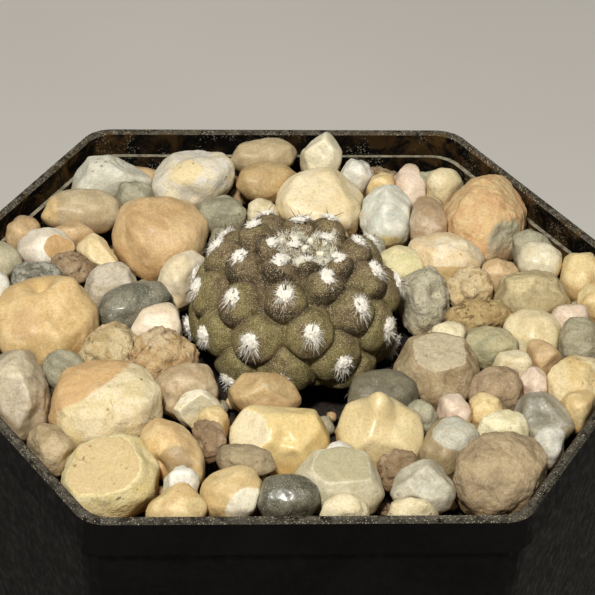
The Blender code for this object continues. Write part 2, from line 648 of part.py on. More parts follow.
def to_direction(place):
    """The direction whose point on the plain ellipsoid is nearest in line with a place."""
    height = BODY_RISE if place[2] > 0.0 else BODY_DROP
    scaled = place / np.array([BODY_RADIUS, BODY_RADIUS, height])
    return scaled / np.linalg.norm(scaled)


def crease_places(cactus):
    """Points on the creases: between two neighbours, and where three of them meet."""
    count = len(cactus.middles)
    for first in range(count):
        for second in range(first + 1, count):
            across = cactus.middles[second] - cactus.middles[first]
            reach = NEIGHBOUR_REACH * (cactus.spacing[first] + cactus.spacing[second]) / 2
            if np.linalg.norm(across) > reach:
                continue
            low, high = 0.0, 1.0
            for _ in range(12):
                middle = (low + high) / 2
                shares = cactus.shares((cactus.middles[first] + across * middle)[None, :])[0]
                if shares[first] < shares[second]:
                    low = middle
                else:
                    high = middle
            if shares.min() > min(shares[first], shares[second]) - CREASE_TOLERANCE:
                yield cactus.middles[first] + across * middle
            for third in range(second + 1, count):
                corner = (cactus.middles[first] + cactus.middles[second]
                          + cactus.middles[third]) / 3
                shares = cactus.shares(corner[None, :])[0]
                trio = shares[[first, second, third]]
                is_nearest = shares.min() > trio.min() - CREASE_TOLERANCE
                if is_nearest and trio.max() < NEIGHBOUR_REACH / 2:
                    yield corner


def fill_directions(cactus):
    """An even spiral of directions, from the crown down to the taproot."""
    depth = 1.0 - math.cos(BODY_END)
    for step in range(FILL_POINTS):
        polar = math.acos(1.0 - depth * (step + 0.5) / FILL_POINTS)
        yield cactus.direction(np.array(polar), np.array(FILL_ANGLE * step))


def body_points(cactus):
    """Directions and places of the mesh's points, thinned so that none lie too close."""
    directions = list(cactus.areoles)
    places = list(cactus.surface(cactus.areoles)[0])
    creases = [to_direction(place) for place in crease_places(cactus)]
    for direction in [*creases, *fill_directions(cactus)]:
        place = cactus.surface(direction[None, :])[0][0]
        if np.linalg.norm(np.array(places) - place, axis=1).min() > LEAST_SPACING:
            directions.append(direction)
            places.append(place)
    return directions, places


def root_points():
    """The taproot's rings, narrowing to its tip."""
    for radius, z in ROOT_PROFILE:
        for step in range(ROOT_RING_POINTS if radius > 0.0 else 1):
            turn = math.tau * step / ROOT_RING_POINTS
            yield np.array([radius * math.cos(turn), radius * math.sin(turn), z])


def body_mesh(cactus):
    """Join the points as seen from the middle: the hull of their directions, then moved out."""
    directions, places = body_points(cactus)
    for place in root_points():
        directions.append(place / np.linalg.norm(place))
        places.append(place)
    bm = bmesh.new()
    verts = [bm.verts.new(direction) for direction in directions]
    bmesh.ops.convex_hull(bm, input=verts)
    for vert, place in zip(verts, places):
        vert.co = place
    bmesh.ops.translate(bm, vec=(BODY_X, BODY_Y, BODY_Z), verts=bm.verts)
    return bm


def upright(normal, place):
    """A matrix whose Z axis is the normal, X runs round the body and Y towards the crown."""
    z_axis = Vector(normal)
    x_axis = Vector((0.0, 0.0, 1.0)).cross(z_axis).normalized()
    y_axis = z_axis.cross(x_axis)
    matrix = Matrix((x_axis, y_axis, z_axis)).transposed().to_4x4()
    matrix.translation = Vector(place) + Vector((BODY_X, BODY_Y, BODY_Z))
    return matrix


def add_pad(bm, seat, size):
    """The woolly cushion of one areole, half sunk in its tubercle."""
    bmesh.ops.create_cone(bm, cap_ends=True, segments=PAD_SIDES, radius1=size,
                          radius2=PAD_TOP * size, depth=PAD_DEPTH * size, matrix=seat)


def add_needles(bm, seat, size, length, is_low, rng):
    """Spines in a ring round the cushion: the upper ones stand, the lower ones lie back."""
    for number in range(NEEDLES):
        turn = math.tau * (number + 0.5 + rng.uniform(-0.2, 0.2)) / NEEDLES
        lift = LOW_LIFT if is_low else rng.uniform(*NEEDLE_LIFT)
        out = Vector((math.cos(turn), math.sin(turn), 0.0))
        aim = out * math.cos(lift) + Vector((0.0, 0.0, math.sin(lift)))
        root = out * (0.5 * size) - aim * NEEDLE_SUNK
        long = length * rng.uniform(0.8, 1.0) + NEEDLE_SUNK
        along = aim.to_track_quat("Z", "Y").to_matrix().to_4x4()
        along.translation = root + aim * (long / 2)
        bmesh.ops.create_cone(bm, cap_ends=True, segments=3, radius1=NEEDLE_RADIUS,
                              radius2=0.0, depth=long, matrix=seat @ along)


def make_cactus(parts):
    cactus = Cactus()
    body = mesh_object("cactus", body_mesh(cactus), parts, "cactus_skin", 80)
    rng = np.random.default_rng(7)
    pads = bmesh.new()
    needles = bmesh.new()
    places, normals = cactus.surface(cactus.areoles)
    for place, normal, spacing in zip(places, normals, cactus.spacing):
        share = min(1.0, spacing / FULL_SPACING)
        seat = upright(normal, place)
        add_pad(pads, seat, PAD_RADIUS * share)
        add_needles(needles, seat, PAD_RADIUS * share, NEEDLE_LENGTH * share,
                    place[2] < LOW_AREOLE, rng)
    tufts = new_collection("areoles")
    mesh_object("pads", pads, tufts)
    mesh_object("needles", needles, tufts)
    apply_boolean(body, "UNION", tufts)


def main():
    for old in list(bpy.data.objects):
        bpy.data.objects.remove(old)
    parts = new_collection("potted_eriosyce_cactus")
    pebble_solids, small_solids = pack_stones()
    make_pot(parts)
    make_soil(parts)
    make_gravel_bed(parts, small_solids)
    make_pebbles(parts, pebble_solids)
    make_cactus(parts)


main()
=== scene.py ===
"""Looks of the potted eriosyce cactus: stones, cactus, wool, pot and studio, on the CAD frame.

Lengths are in millimetres until a mesh is made. The frame's Z is up and its origin is at the
middle of the pot's foot.
"""
import json
import math
from functools import cache

import bmesh
import bpy
import numpy as np
from mathutils import Matrix, Vector, noise
from mathutils.bvhtree import BVHTree

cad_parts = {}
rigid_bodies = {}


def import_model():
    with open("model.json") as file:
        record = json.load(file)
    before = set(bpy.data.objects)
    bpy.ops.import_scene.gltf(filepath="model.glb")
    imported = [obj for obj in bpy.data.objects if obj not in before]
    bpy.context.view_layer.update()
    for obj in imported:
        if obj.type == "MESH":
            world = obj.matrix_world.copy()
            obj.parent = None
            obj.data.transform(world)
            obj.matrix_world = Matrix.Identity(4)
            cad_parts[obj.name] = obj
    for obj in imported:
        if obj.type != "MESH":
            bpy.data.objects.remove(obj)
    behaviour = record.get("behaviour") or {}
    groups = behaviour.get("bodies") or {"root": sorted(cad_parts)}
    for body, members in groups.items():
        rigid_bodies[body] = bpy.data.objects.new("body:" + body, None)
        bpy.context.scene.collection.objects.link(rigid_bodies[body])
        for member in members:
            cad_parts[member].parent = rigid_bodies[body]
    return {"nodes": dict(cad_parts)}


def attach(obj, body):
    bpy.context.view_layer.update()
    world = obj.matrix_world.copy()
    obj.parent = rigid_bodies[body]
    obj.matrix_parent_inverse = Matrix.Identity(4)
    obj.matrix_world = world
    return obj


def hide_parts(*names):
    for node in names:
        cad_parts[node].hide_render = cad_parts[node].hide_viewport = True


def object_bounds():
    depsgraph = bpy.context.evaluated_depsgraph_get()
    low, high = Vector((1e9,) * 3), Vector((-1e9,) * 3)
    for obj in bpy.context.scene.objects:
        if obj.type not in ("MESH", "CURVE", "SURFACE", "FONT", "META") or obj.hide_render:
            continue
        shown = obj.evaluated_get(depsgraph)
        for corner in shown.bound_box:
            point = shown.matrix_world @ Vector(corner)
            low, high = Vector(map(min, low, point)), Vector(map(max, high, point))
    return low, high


MM = 0.001
POT_HEIGHT = 62.0
# The pot's inner wall at the bed's top
INNER_APOTHEM = 37.6
# The bed's gritty layer: its top, thickness, grid's reach and step
BED_TOP = 56.0
BED_DEPTH = 2.9
BED_REACH = 44.0
BED_STEP = 0.8
# Radii round the cactus inside which the bed is open and no fine grit lies
BED_HOLE = 11.2
GRIT_HOLE = 13.8
# Larger pebbles get a finer mesh
LARGE_STONE = 16.5
# Distance given to a ray that hits nothing
FAR = 9.0
# Fine grit: tries, reach to each side, range of the sizes and the least one kept
GRIT_TRIES = 6000
GRIT_REACH = (44.0, 38.0)
GRIT_SIZES = (0.7, 1.5)
LEAST_GRIT = 0.45

# The camera of the photo, in millimetres from the middle of the rim, and its three directions
EYE = np.array([-18.72, -269.686, 184.364])
RIGHT = np.array([0.99818, -0.05015, 0.03346])
UP = np.array([0.00052, 0.56206, 0.8271])
AHEAD = np.array([0.06029, 0.82557, -0.56106])
LENS = 170.46

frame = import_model()
cad_box = [list(map(float, corner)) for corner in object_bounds()]


# Meshes

def unit(vectors):
    """A vector, or each row of an array, made one long."""
    vectors = np.asarray(vectors, float)
    return vectors / np.linalg.norm(vectors, axis=-1, keepdims=True)


def clamp(values):
    return np.clip(values, 0.0, 1.0)


def facing(u, v):
    """Direction of the point seen at (u, v) on a round stone's face, from the photo's side."""
    return unit(u * RIGHT + v * UP - math.sqrt(max(0.0, 1 - u * u - v * v)) * AHEAD)


def toward(polar, turn):
    """Directions at angles from the Z axis and turns about it."""
    return np.stack([np.sin(polar) * np.cos(turn), np.sin(polar) * np.sin(turn),
                     np.cos(polar)], axis=-1)


@cache
def icosphere(level):
    """Unit directions, triangles and edges of an icosphere."""
    bm = bmesh.new()
    bmesh.ops.create_icosphere(bm, subdivisions=level, radius=1.0)
    points = np.array([vert.co[:] for vert in bm.verts])
    faces, edges = [np.array([[vert.index for vert in part.verts] for part in parts])
                    for parts in (bm.faces, bm.edges)]
    bm.free()
    return unit(points), faces, edges


def relax(values, edges, rounds):
    """Average each vertex's value with its neighbours' a number of times."""
    one, other = edges.T
    size = len(values)
    count = np.bincount(one, minlength=size) + np.bincount(other, minlength=size)
    for _ in range(rounds):
        total = np.bincount(one, values[other], size) + np.bincount(other, values[one], size)
        values = 0.5 * values + 0.5 * total / count
    return values


def wobble(points, scale, octaves=3, seed=0.0, roughness=0.9):
    """Fractal noise from about -1 to 1 at points in millimetres."""
    offset = Vector((seed, seed * 1.7, -seed * 0.6))
    return np.array([noise.fractal(Vector(p) * scale + offset, roughness, 2.1, octaves,
                                   noise_basis="PERLIN_ORIGINAL") for p in points])


def add_object(name, data):
    made = bpy.data.objects.new(name, data)
    bpy.context.scene.collection.objects.link(made)
    return made


def make_mesh(name, points, faces, material, **attributes):
    """An object in metres from points in millimetres, with attributes of a value per point."""
    mesh = bpy.data.meshes.new(name)
    mesh.from_pydata((np.asarray(points) * MM).tolist(), [], [list(f) for f in faces])
    mesh.update()
    for key, values in attributes.items():
        layer = mesh.attributes.new(key, "FLOAT", "POINT")
        layer.data.foreach_set("value", np.asarray(values, np.float32))
    mesh.shade_smooth()
    mesh.materials.append(material)
    return add_object(name, mesh)


def repeated(faces, size, count):
    """The faces of a piece of this size in points, for a count of such pieces in a row."""
    return (faces + size * np.arange(count)[:, None, None]).reshape(-1, 3)


def tree_of(thing):
    """A search tree of an object's faces, and its corners, in millimetres."""
    corners = [vert.co / MM for vert in thing.data.vertices]
    tree = BVHTree.FromPolygons(corners, [list(face.vertices) for face in thing.data.polygons])
    return tree, np.array([corner[:] for corner in corners])


def cast(tree, centre, directions):
    """How far a tree's faces lie from a centre, in each direction."""
    hits = [tree.ray_cast(Vector(centre), Vector(d))[3] for d in directions]
    return np.array([FAR if hit is None else hit for hit in hits])


# Materials

def linear(colour):
    """Linear colour from one as it looks on a screen, 0 to 1."""
    return tuple(c / 12.92 if c <= 0.04045 else ((c + 0.055) / 1.055) ** 2.4 for c in colour)


def scaled(colour, factor):
    """A colour times a number, or times one for each of its parts."""
    return tuple(np.multiply(colour, factor))


def blend(first, second, share):
    """A colour on the way from one to another, or beyond it. The second may be a number."""
    return tuple((1 - share) * np.array(first) + share * np.array(second))


class Nodes:
    """A short way to write a node tree, with places in millimetres."""

    def __init__(self, name):
        self.material = bpy.data.materials.new(name)
        self.material.use_nodes = True
        self.tree = self.material.node_tree
        spot = self.add("TexCoord", {}, "Object")
        self.place = self.add("Mapping", {"Vector": spot, "Scale": (1 / MM,) * 3}, "Vector")

    def feed(self, socket, value):
        """Link a node's output to a socket, or set the socket to a number or colour."""
        if isinstance(value, bpy.types.NodeSocket):
            self.tree.links.new(value, socket)
        elif socket.type == "RGBA":
            socket.default_value = (*value, 1.0)
        else:
            socket.default_value = value

    def add(self, kind, inputs, output, **settings):
        """The output of a new node with these inputs and settings."""
        node = self.tree.nodes.new("ShaderNode" + kind)
        for key, value in settings.items():
            setattr(node, key, value)
        for key, value in inputs.items():
            self.feed(node.inputs[key], value)
        return node.outputs[output]

    def noise(self, scale, detail=4.0, rough=0.55, warp=0.0, output="Fac"):
        return self.add("TexNoise", {"Vector": self.place, "Scale": scale, "Detail": detail,
                                     "Roughness": rough, "Distortion": warp}, output)

    def warped(self, scale, amount):
        """Places pushed about by noise, by up to an amount in millimetres."""
        push = self.noise(scale, 4.0, 0.5, output="Color")
        return self.add("VectorMath", {0: push, 1: (amount,) * 3, 2: self.place}, "Vector",
                        operation="MULTIPLY_ADD")

    def cells(self, scale, vector=None, output="Distance", feature="F1"):
        return self.add("TexVoronoi", {"Vector": vector or self.place, "Scale": scale}, output,
                        feature=feature)

    def attribute(self, name):
        return self.add("Attribute", {}, "Fac", attribute_name=name)

    def ramp(self, value, low, high, start=0.0, end=1.0):
        """Map low..high to start..end, clamped and eased."""
        return self.add("MapRange", {"Value": value, "From Min": low, "From Max": high,
                                     "To Min": start, "To Max": end}, "Result",
                        interpolation_type="SMOOTHSTEP")

    def math(self, operation, *values):
        return self.add("Math", dict(enumerate(values)), "Value", operation=operation)

    def times(self, first, *others):
        for other in others:
            first = self.math("MULTIPLY", first, other)
        return first

    def mix(self, factor, first, second):
        return self.add("Mix", {0: factor, 6: first, 7: second}, 2, data_type="RGBA")

    def bump(self, height, depth, below=None):
        """Bump whose height of 1 is a depth in millimetres, on another bump."""
        inputs = {"Distance": depth * MM, "Height": height}
        if below:
            inputs["Normal"] = below
        return self.add("Bump", inputs, "Normal")

    def finish(self, colour, roughness, normal=None, **values):
        """Feed the shader, and give the material."""
        values.update(Base_Color=colour, Roughness=roughness)
        if normal:
            values["Normal"] = normal
        for key, value in values.items():
            self.feed(self.tree.nodes["Principled BSDF"].inputs[key.replace("_", " ")], value)
        return self.material


# Stone kinds: scale of the mottles per mm, strength of the stains, colour of the specks, how
# many specks and pits, roughness, depth of the bumps and pits in mm, scale of the specks per
# mm, inner glow, coat, and how far the shape rises and falls in mm, at a scale per mm
TRAITS = ("mottle", "stain", "speck", "many", "pits", "rough", "bump", "pit", "fineness",
          "glow", "coat", "grain", "grain_scale")
KINDS = {
    "smooth": (.24, .45, (.52, .38, .2), .12, .15, .46, .03, .05, 3.4, .15, .05, .12, .4),
    "chalk": (.3, .35, (.62, .53, .36), .22, .45, .72, .055, .14, 3.2, .08, 0, .14, .6),
    "wax": (.18, .45, (.99, .93, .76), .08, .05, .34, .02, .03, 3, .3, .15, .14, .34),
    "sand": (.34, .4, (.93, .88, .74), .6, .35, .78, .075, .08, 4, 0, 0, .2, .7),
    "rough": (.45, .55, (.4, .27, .13), .35, .8, .85, .13, .32, 3.2, 0, 0, .48, .75),
    "slate": (.4, .15, (.84, .84, .74), .85, .1, .4, .03, .03, 4.4, 0, .45, .1, .5),
    "granite": (.95, .25, (.24, .22, .18), .9, .5, .78, .11, .1, 2.8, 0, 0, .3, 1),
    "quartz": (.26, .4, (.99, .97, .92), .18, .1, .36, .04, .04, 3.2, .3, .12, .2, .5),
}
KINDS = {kind: dict(zip(TRAITS, row)) for kind, row in KINDS.items()}


def stone_material(name, kind, base, second, zone):
    """A worn stone: mottles and stains, a yellow-brown foot of painted contact shade and warm
    bounce light, a zone of a third colour, specks, pits, veins.
    """
    look = KINDS[kind]
    many, pits, depth = look["many"], look["pits"], look["bump"]
    n = Nodes(name)
    tones = (linear(tone) for tone in (base, blend(base, second, 1.5), zone))
    base, second, zone = (blend(tone, sum(tone) / 3, 0.12) for tone in tones)
    ochre_and_shade, rust = (scaled(second, part) for part in ((0.92, 0.66, 0.34), (0.95, 0.8, 0.58)))
    wide = n.noise(look["mottle"], 6, 0.62, 0.8)
    colour = n.mix(n.ramp(wide, 0.4, 0.62), base, second)
    edge = n.math("ADD", n.attribute("zone"), n.times(n.noise(0.55, 6, 0.62), 0.55))
    colour = n.mix(n.ramp(edge, 0.68, 0.88), colour, zone)
    stain = n.ramp(n.noise(0.38, 7, 0.68, 1.4), 0.52, 0.74, 0, look["stain"])
    colour = n.mix(stain, colour, rust)
    # Painted shade: darker yellow-brown towards the foot stands in for contact shadow and warm
    # bounce light
    low = n.times(n.attribute("low"), n.ramp(n.noise(0.3), 0.3, 0.62, 0.45, 1.0))
    colour = n.mix(low, colour, ochre_and_shade)
    bloom = n.ramp(n.noise(1.1, 6, 0.7, 0.4), 0.56, 0.74, 0, 0.4)
    colour = n.mix(bloom, colour, blend(base, 1.0, 0.4))
    veins = n.ramp(n.cells(0.13, n.warped(0.45, 5.0), feature="DISTANCE_TO_EDGE"), 0.03, 0.004)
    veins = n.times(veins, n.ramp(n.noise(0.21), 0.5, 0.62), pits)
    colour = n.mix(n.times(veins, 0.6), colour, scaled(ochre_and_shade, 0.5))
    fine = n.noise(3.6, 6, 0.8)
    colour = n.mix(n.ramp(fine, 0.34, 0.54, 0.42, 0.0), colour, scaled(rust, 0.5))
    colour = n.mix(n.ramp(fine, 0.54, 0.72, 0, 0.3), colour, blend(base, 1.0, 0.6))
    limit = 0.12 + 0.2 * many
    specks = n.ramp(n.cells(look["fineness"]), limit, limit * 0.4, 0, 0.5 + 0.4 * many)
    gate = n.ramp(n.noise(1.2, 4, 0.6), 0.6 - 0.22 * many, 0.7 - 0.2 * many)
    colour = n.mix(n.times(specks, gate), colour, linear(look["speck"]))
    holes = n.ramp(n.cells(1.25, n.warped(1.6, 0.8)), 0.3, 0.1)
    gate = n.ramp(n.noise(0.42, 4, 0.6), 0.66 - 0.22 * pits, 0.72 - 0.2 * pits)
    holes = n.times(holes, gate)
    colour = n.mix(n.times(holes, 0.55), colour, scaled(ochre_and_shade, 0.35))
    bump = n.bump(n.noise(0.9, 6, 0.6), 3.0 * depth)
    bump = n.bump(n.noise(2.6, 6, 0.68), 1.3 * depth, bump)
    bump = n.bump(fine, 0.8 * depth, bump)
    bump = n.bump(n.times(n.math("MAXIMUM", holes, veins), -1.0), look["pit"], bump)
    rough = n.ramp(fine, 0.2, 0.8, look["rough"] - 0.08, min(1.0, look["rough"] + 0.14))
    return n.finish(colour, rough, bump, Coat_Weight=look["coat"], Coat_Roughness=0.24, IOR=1.5,
                    Subsurface_Weight=look["glow"], Subsurface_Scale=MM,
                    Subsurface_Radius=(1.0, 0.6, 0.3))


# Stones

# What the photo shows of each large stone: kind, how much it is cut by worn flats, two colours,
# its own forms and the colour of its zone. The forms are at places (u, v) on the face that the
# photo shows: f = flat (u, v, share of the reach), F = the same with the zone's colour, d = dent
# and b = bump (u, v, width, millimetres), z = round zone (u, v, width), h = zone to one side of
# a line (u, v, direction in degrees, softness)
PEBBLES = {
    1: ("smooth", .1, (.78, .7, .53), (.73, .65, .49)),
    2: ("wax", .3, (.93, .89, .77), (.88, .85, .72),
        [("f", -.6, .74, .76), ("f", .72, .6, .8), ("f", -.15, -.1, .72)]),
    3: ("chalk", .3, (.89, .88, .81), (.82, .81, .73),
        [("f", .44, .86, .62), ("f", -.8, .48, .84), ("d", .45, .75, .6, .4),
         ("z", .35, -.75, .75)], (.7, .68, .6)),
    4: ("chalk", .4, (.94, .89, .73), (.9, .87, .78),
        [("f", 0, .95, .82), ("f", -.7, .62, .78), ("d", -.05, -.45, .28, .9), ("z", -.2, .35, .5)],
        (.94, .86, .65)),
    5: ("smooth", .1, (.8, .69, .47), (.74, .62, .41)),
    6: ("smooth", .4, (.96, .9, .75), (.93, .86, .68),
        [("f", .62, .68, .74), ("f", .05, .6, .74), ("f", -.7, .62, .82)]),
    7: ("quartz", .5, (.94, .93, .86), (.85, .86, .8),
        [("z", 0, -.9, .6), ("f", .5, .2, .8), ("f", .6, .7, .82), ("f", -.6, .6, .84)],
        (.9, .8, .5)),
    8: ("quartz", .4, (.8, .72, .6), (.74, .64, .5)),
    9: ("sand", .5, (.9, .78, .54), (.87, .71, .48),
        [("z", .45, -.5, .5), ("f", .68, .64, .76), ("f", -.68, .72, .78), ("f", .98, -.15, .86),
         ("f", .15, -.98, .86), ("f", -.9, -.35, .86), ("d", .4, -.35, .3, .5)], (.72, .7, .58)),
    10: ("smooth", .1, (.8, .73, .57), (.75, .67, .51),
        [("z", -.9, 0, .5)], (.88, .76, .52)),
    11: ("smooth", .35, (.88, .75, .53), (.82, .68, .46),
        [("d", -.1, .45, .12, .15), ("f", .1, .75, .88), ("f", -.8, .1, .86)]),
    12: ("smooth", .5, (.96, .94, .87), (.9, .86, .78),
        [("F", .58, .1, .66), ("f", -.5, .7, .84), ("f", .55, .8, .84)], (.84, .68, .43)),
    13: ("smooth", .5, (.95, .88, .69), (.92, .84, .63),
        [("f", .2, .35, .6), ("f", .76, .62, .68), ("f", -.76, -.6, .72), ("f", -.55, .82, .84)]),
    14: ("smooth", .2, (.8, .77, .63), (.72, .69, .56)),
    15: ("chalk", .35, (.96, .9, .76), (.93, .84, .66),
        [("f", -.2, .9, .85), ("h", 0, -.15, -90, .3), ("f", .75, .55, .82)], (.82, .7, .45)),
    16: ("smooth", .2, (.93, .88, .68), (.88, .84, .62)),
    17: ("wax", .1, (.91, .88, .76), (.87, .83, .69)),
    18: ("granite", .5, (.72, .71, .64), (.55, .54, .47)),
    19: ("sand", .6, (.83, .79, .7), (.76, .71, .6),
        [("f", 0, .6, .7), ("f", .85, .45, .8), ("f", -.85, .4, .8)]),
    20: ("smooth", .2, (.95, .9, .8), (.92, .86, .72)),
    21: ("rough", .6, (.95, .86, .66), (.89, .78, .56)),
    22: ("sand", .4, (.8, .73, .54), (.72, .65, .46),
        [("f", -.1, .97, .8), ("f", .88, .42, .78), ("f", -.9, .3, .8), ("f", .1, .3, .76),
         ("z", -.5, .6, .5), ("d", .7, .3, .2, .4)], (.86, .79, .58)),
    23: ("granite", .2, (.82, .79, .67), (.75, .72, .6),
        [("d", .42, .4, .32, 1.5), ("b", .2, .85, .4, .6)]),
    24: ("smooth", .2, (.92, .8, .56), (.87, .74, .49),
        [("d", -.12, .97, .3, 2), ("b", .45, .85, .4, 1.2), ("z", -.35, .05, .35)], (.84, .7, .48)),
    25: ("slate", .1, (.55, .53, .45), (.45, .44, .37)),
    26: ("smooth", .1, (.98, .93, .84), (.95, .88, .76)),
    27: ("rough", .4, (.82, .71, .46), (.74, .62, .38),
        [("f", 0, .7, .8)]),
    28: ("wax", .2, (.93, .87, .69), (.89, .82, .62),
        [("d", .15, -.5, .25, .5), ("f", -.5, .6, .85)]),
    29: ("sand", .2, (.7, .67, .54), (.62, .59, .47)),
    30: ("sand", .4, (.76, .72, .54), (.68, .66, .5)),
    31: ("rough", .4, (.92, .83, .62), (.84, .74, .52),
        [("z", .7, .2, .7)], (.9, .82, .62)),
    32: ("rough", .6, (.9, .78, .56), (.82, .68, .46),
        [("z", -.2, .8, .5), ("d", .3, -.3, .25, .5)], (.9, .8, .62)),
    33: ("sand", .5, (.76, .68, .52), (.67, .58, .42),
        [("F", .05, .78, .7), ("f", .85, .45, .78), ("f", -.85, .4, .8), ("f", .35, -.15, .76),
         ("d", -.15, .05, .28, .9), ("d", .35, -.2, .22, .5)], (.8, .74, .6)),
    34: ("sand", .2, (.74, .63, .48), (.66, .56, .42),
        [("d", .2, -.4, .3, .3)]),
    35: ("chalk", .5, (.93, .86, .66), (.88, .78, .54)),
    36: ("quartz", .6, (.78, .72, .6), (.71, .65, .54),
        [("z", .1, .85, .6), ("d", .6, -.5, .28, 1.2), ("f", -.3, .1, .78)], (.84, .79, .66)),
    37: ("chalk", .1, (.93, .87, .71), (.9, .83, .63),
        [("h", -.18, .375, 127, .45), ("z", -.95, -.1, .4)], (.85, .69, .45)),
    38: ("quartz", .3, (.82, .74, .6), (.76, .67, .52)),
    39: ("chalk", .7, (.98, .95, .85), (.95, .91, .77),
        [("F", .3, -.15, .62), ("f", -.45, .72, .7), ("f", .7, .66, .72), ("f", -.8, -.45, .78)],
        (.78, .75, .62)),
    40: ("smooth", .8, (.81, .7, .48), (.75, .63, .42),
        [("f", -.45, .55, .66), ("f", .5, .62, .64), ("f", -.95, -.1, .8), ("f", .1, -.2, .8),
         ("z", .12, .42, .18)], (.92, .88, .74)),
    41: ("smooth", .2, (.5, .48, .38), (.45, .42, .33),
        [("b", .7, .6, .5, .5)]),
    42: ("wax", .3, (.96, .87, .61), (.93, .83, .56),
        [("F", -.62, .3, .68), ("f", .3, .45, .74), ("f", .75, -.1, .8), ("f", -.05, -.55, .76),
         ("f", .05, .98, .84), ("f", .9, .42, .84), ("d", .05, .05, .25, .7)], (.95, .9, .74)),
    43: ("wax", .2, (.92, .85, .64), (.89, .81, .59),
        [("b", -.02, .85, .3, 1.6), ("f", -.6, .35, .74), ("f", .65, .3, .74), ("f", 0, -.6, .76),
         ("f", .2, .15, .8), ("d", .45, .55, .35, .6)]),
    44: ("quartz", .3, (.71, .63, .47), (.62, .54, .38),
        [("z", .2, .75, .85)], (.82, .81, .73)),
    45: ("quartz", .7, (.7, .68, .6), (.6, .58, .5),
        [("z", .65, -.65, .6), ("f", -.2, .3, .66), ("f", .62, .7, .72), ("f", -.9, .35, .76),
         ("d", 0, .05, .35, .6)], (.92, .84, .64)),
    46: ("chalk", .5, (.95, .92, .76), (.9, .86, .68)),
    47: ("sand", .4, (.8, .71, .54), (.72, .63, .46)),
    48: ("smooth", .4, (.91, .8, .56), (.86, .73, .5),
        [("z", .1, -.25, .5), ("d", -.5, -.6, .4, .8), ("f", .66, .58, .8), ("f", -.75, .6, .84)],
        (.68, .58, .4)),
    49: ("chalk", .4, (.96, .9, .68), (.93, .86, .6),
        [("F", -.12, .6, .66), ("f", .72, .62, .8), ("f", -.8, .52, .84), ("f", .6, -.74, .86)],
        (.85, .75, .53)),
    50: ("sand", .1, (.72, .64, .48), (.64, .57, .43)),
    51: ("smooth", .3, (.87, .84, .72), (.82, .79, .65),
        [("F", .1, .72, .72), ("f", -.72, .62, .8), ("f", .88, .4, .82), ("f", .2, -.2, .84)],
        (.74, .71, .56)),
    52: ("sand", .1, (.75, .66, .5), (.68, .59, .44)),
    53: ("quartz", .6, (.81, .79, .71), (.74, .72, .63),
        [("z", -.35, -.75, .6), ("f", .1, .4, .72), ("f", .66, .7, .74), ("f", -.75, .55, .76),
         ("d", -.3, -.6, .3, .7)], (.56, .48, .33)),
    54: ("smooth", .2, (.9, .8, .57), (.85, .74, .5),
        [("z", .55, -.5, .8), ("f", .45, .1, .8), ("f", -.45, .8, .8)], (.97, .94, .83)),
    55: ("slate", .2, (.46, .45, .37), (.38, .37, .3)),
    56: ("smooth", .3, (.84, .76, .6), (.78, .68, .5)),
}

# The small stones' looks: kind, two colours
SMALL_LOOKS = {
    "cream": ("chalk", (.94, .89, .73), (.88, .82, .64)),
    "yellow": ("smooth", (.93, .84, .6), (.87, .76, .52)),
    "tan": ("smooth", (.84, .72, .52), (.76, .64, .45)),
    "brown": ("rough", (.78, .67, .52), (.68, .57, .42)),
    "pink": ("quartz", (.93, .86, .77), (.88, .79, .69)),
    "grey": ("sand", (.72, .7, .58), (.63, .61, .5)),
    "white": ("quartz", (.93, .92, .87), (.85, .84, .78)),
    "dark": ("granite", (.52, .51, .43), (.4, .4, .34)),
}

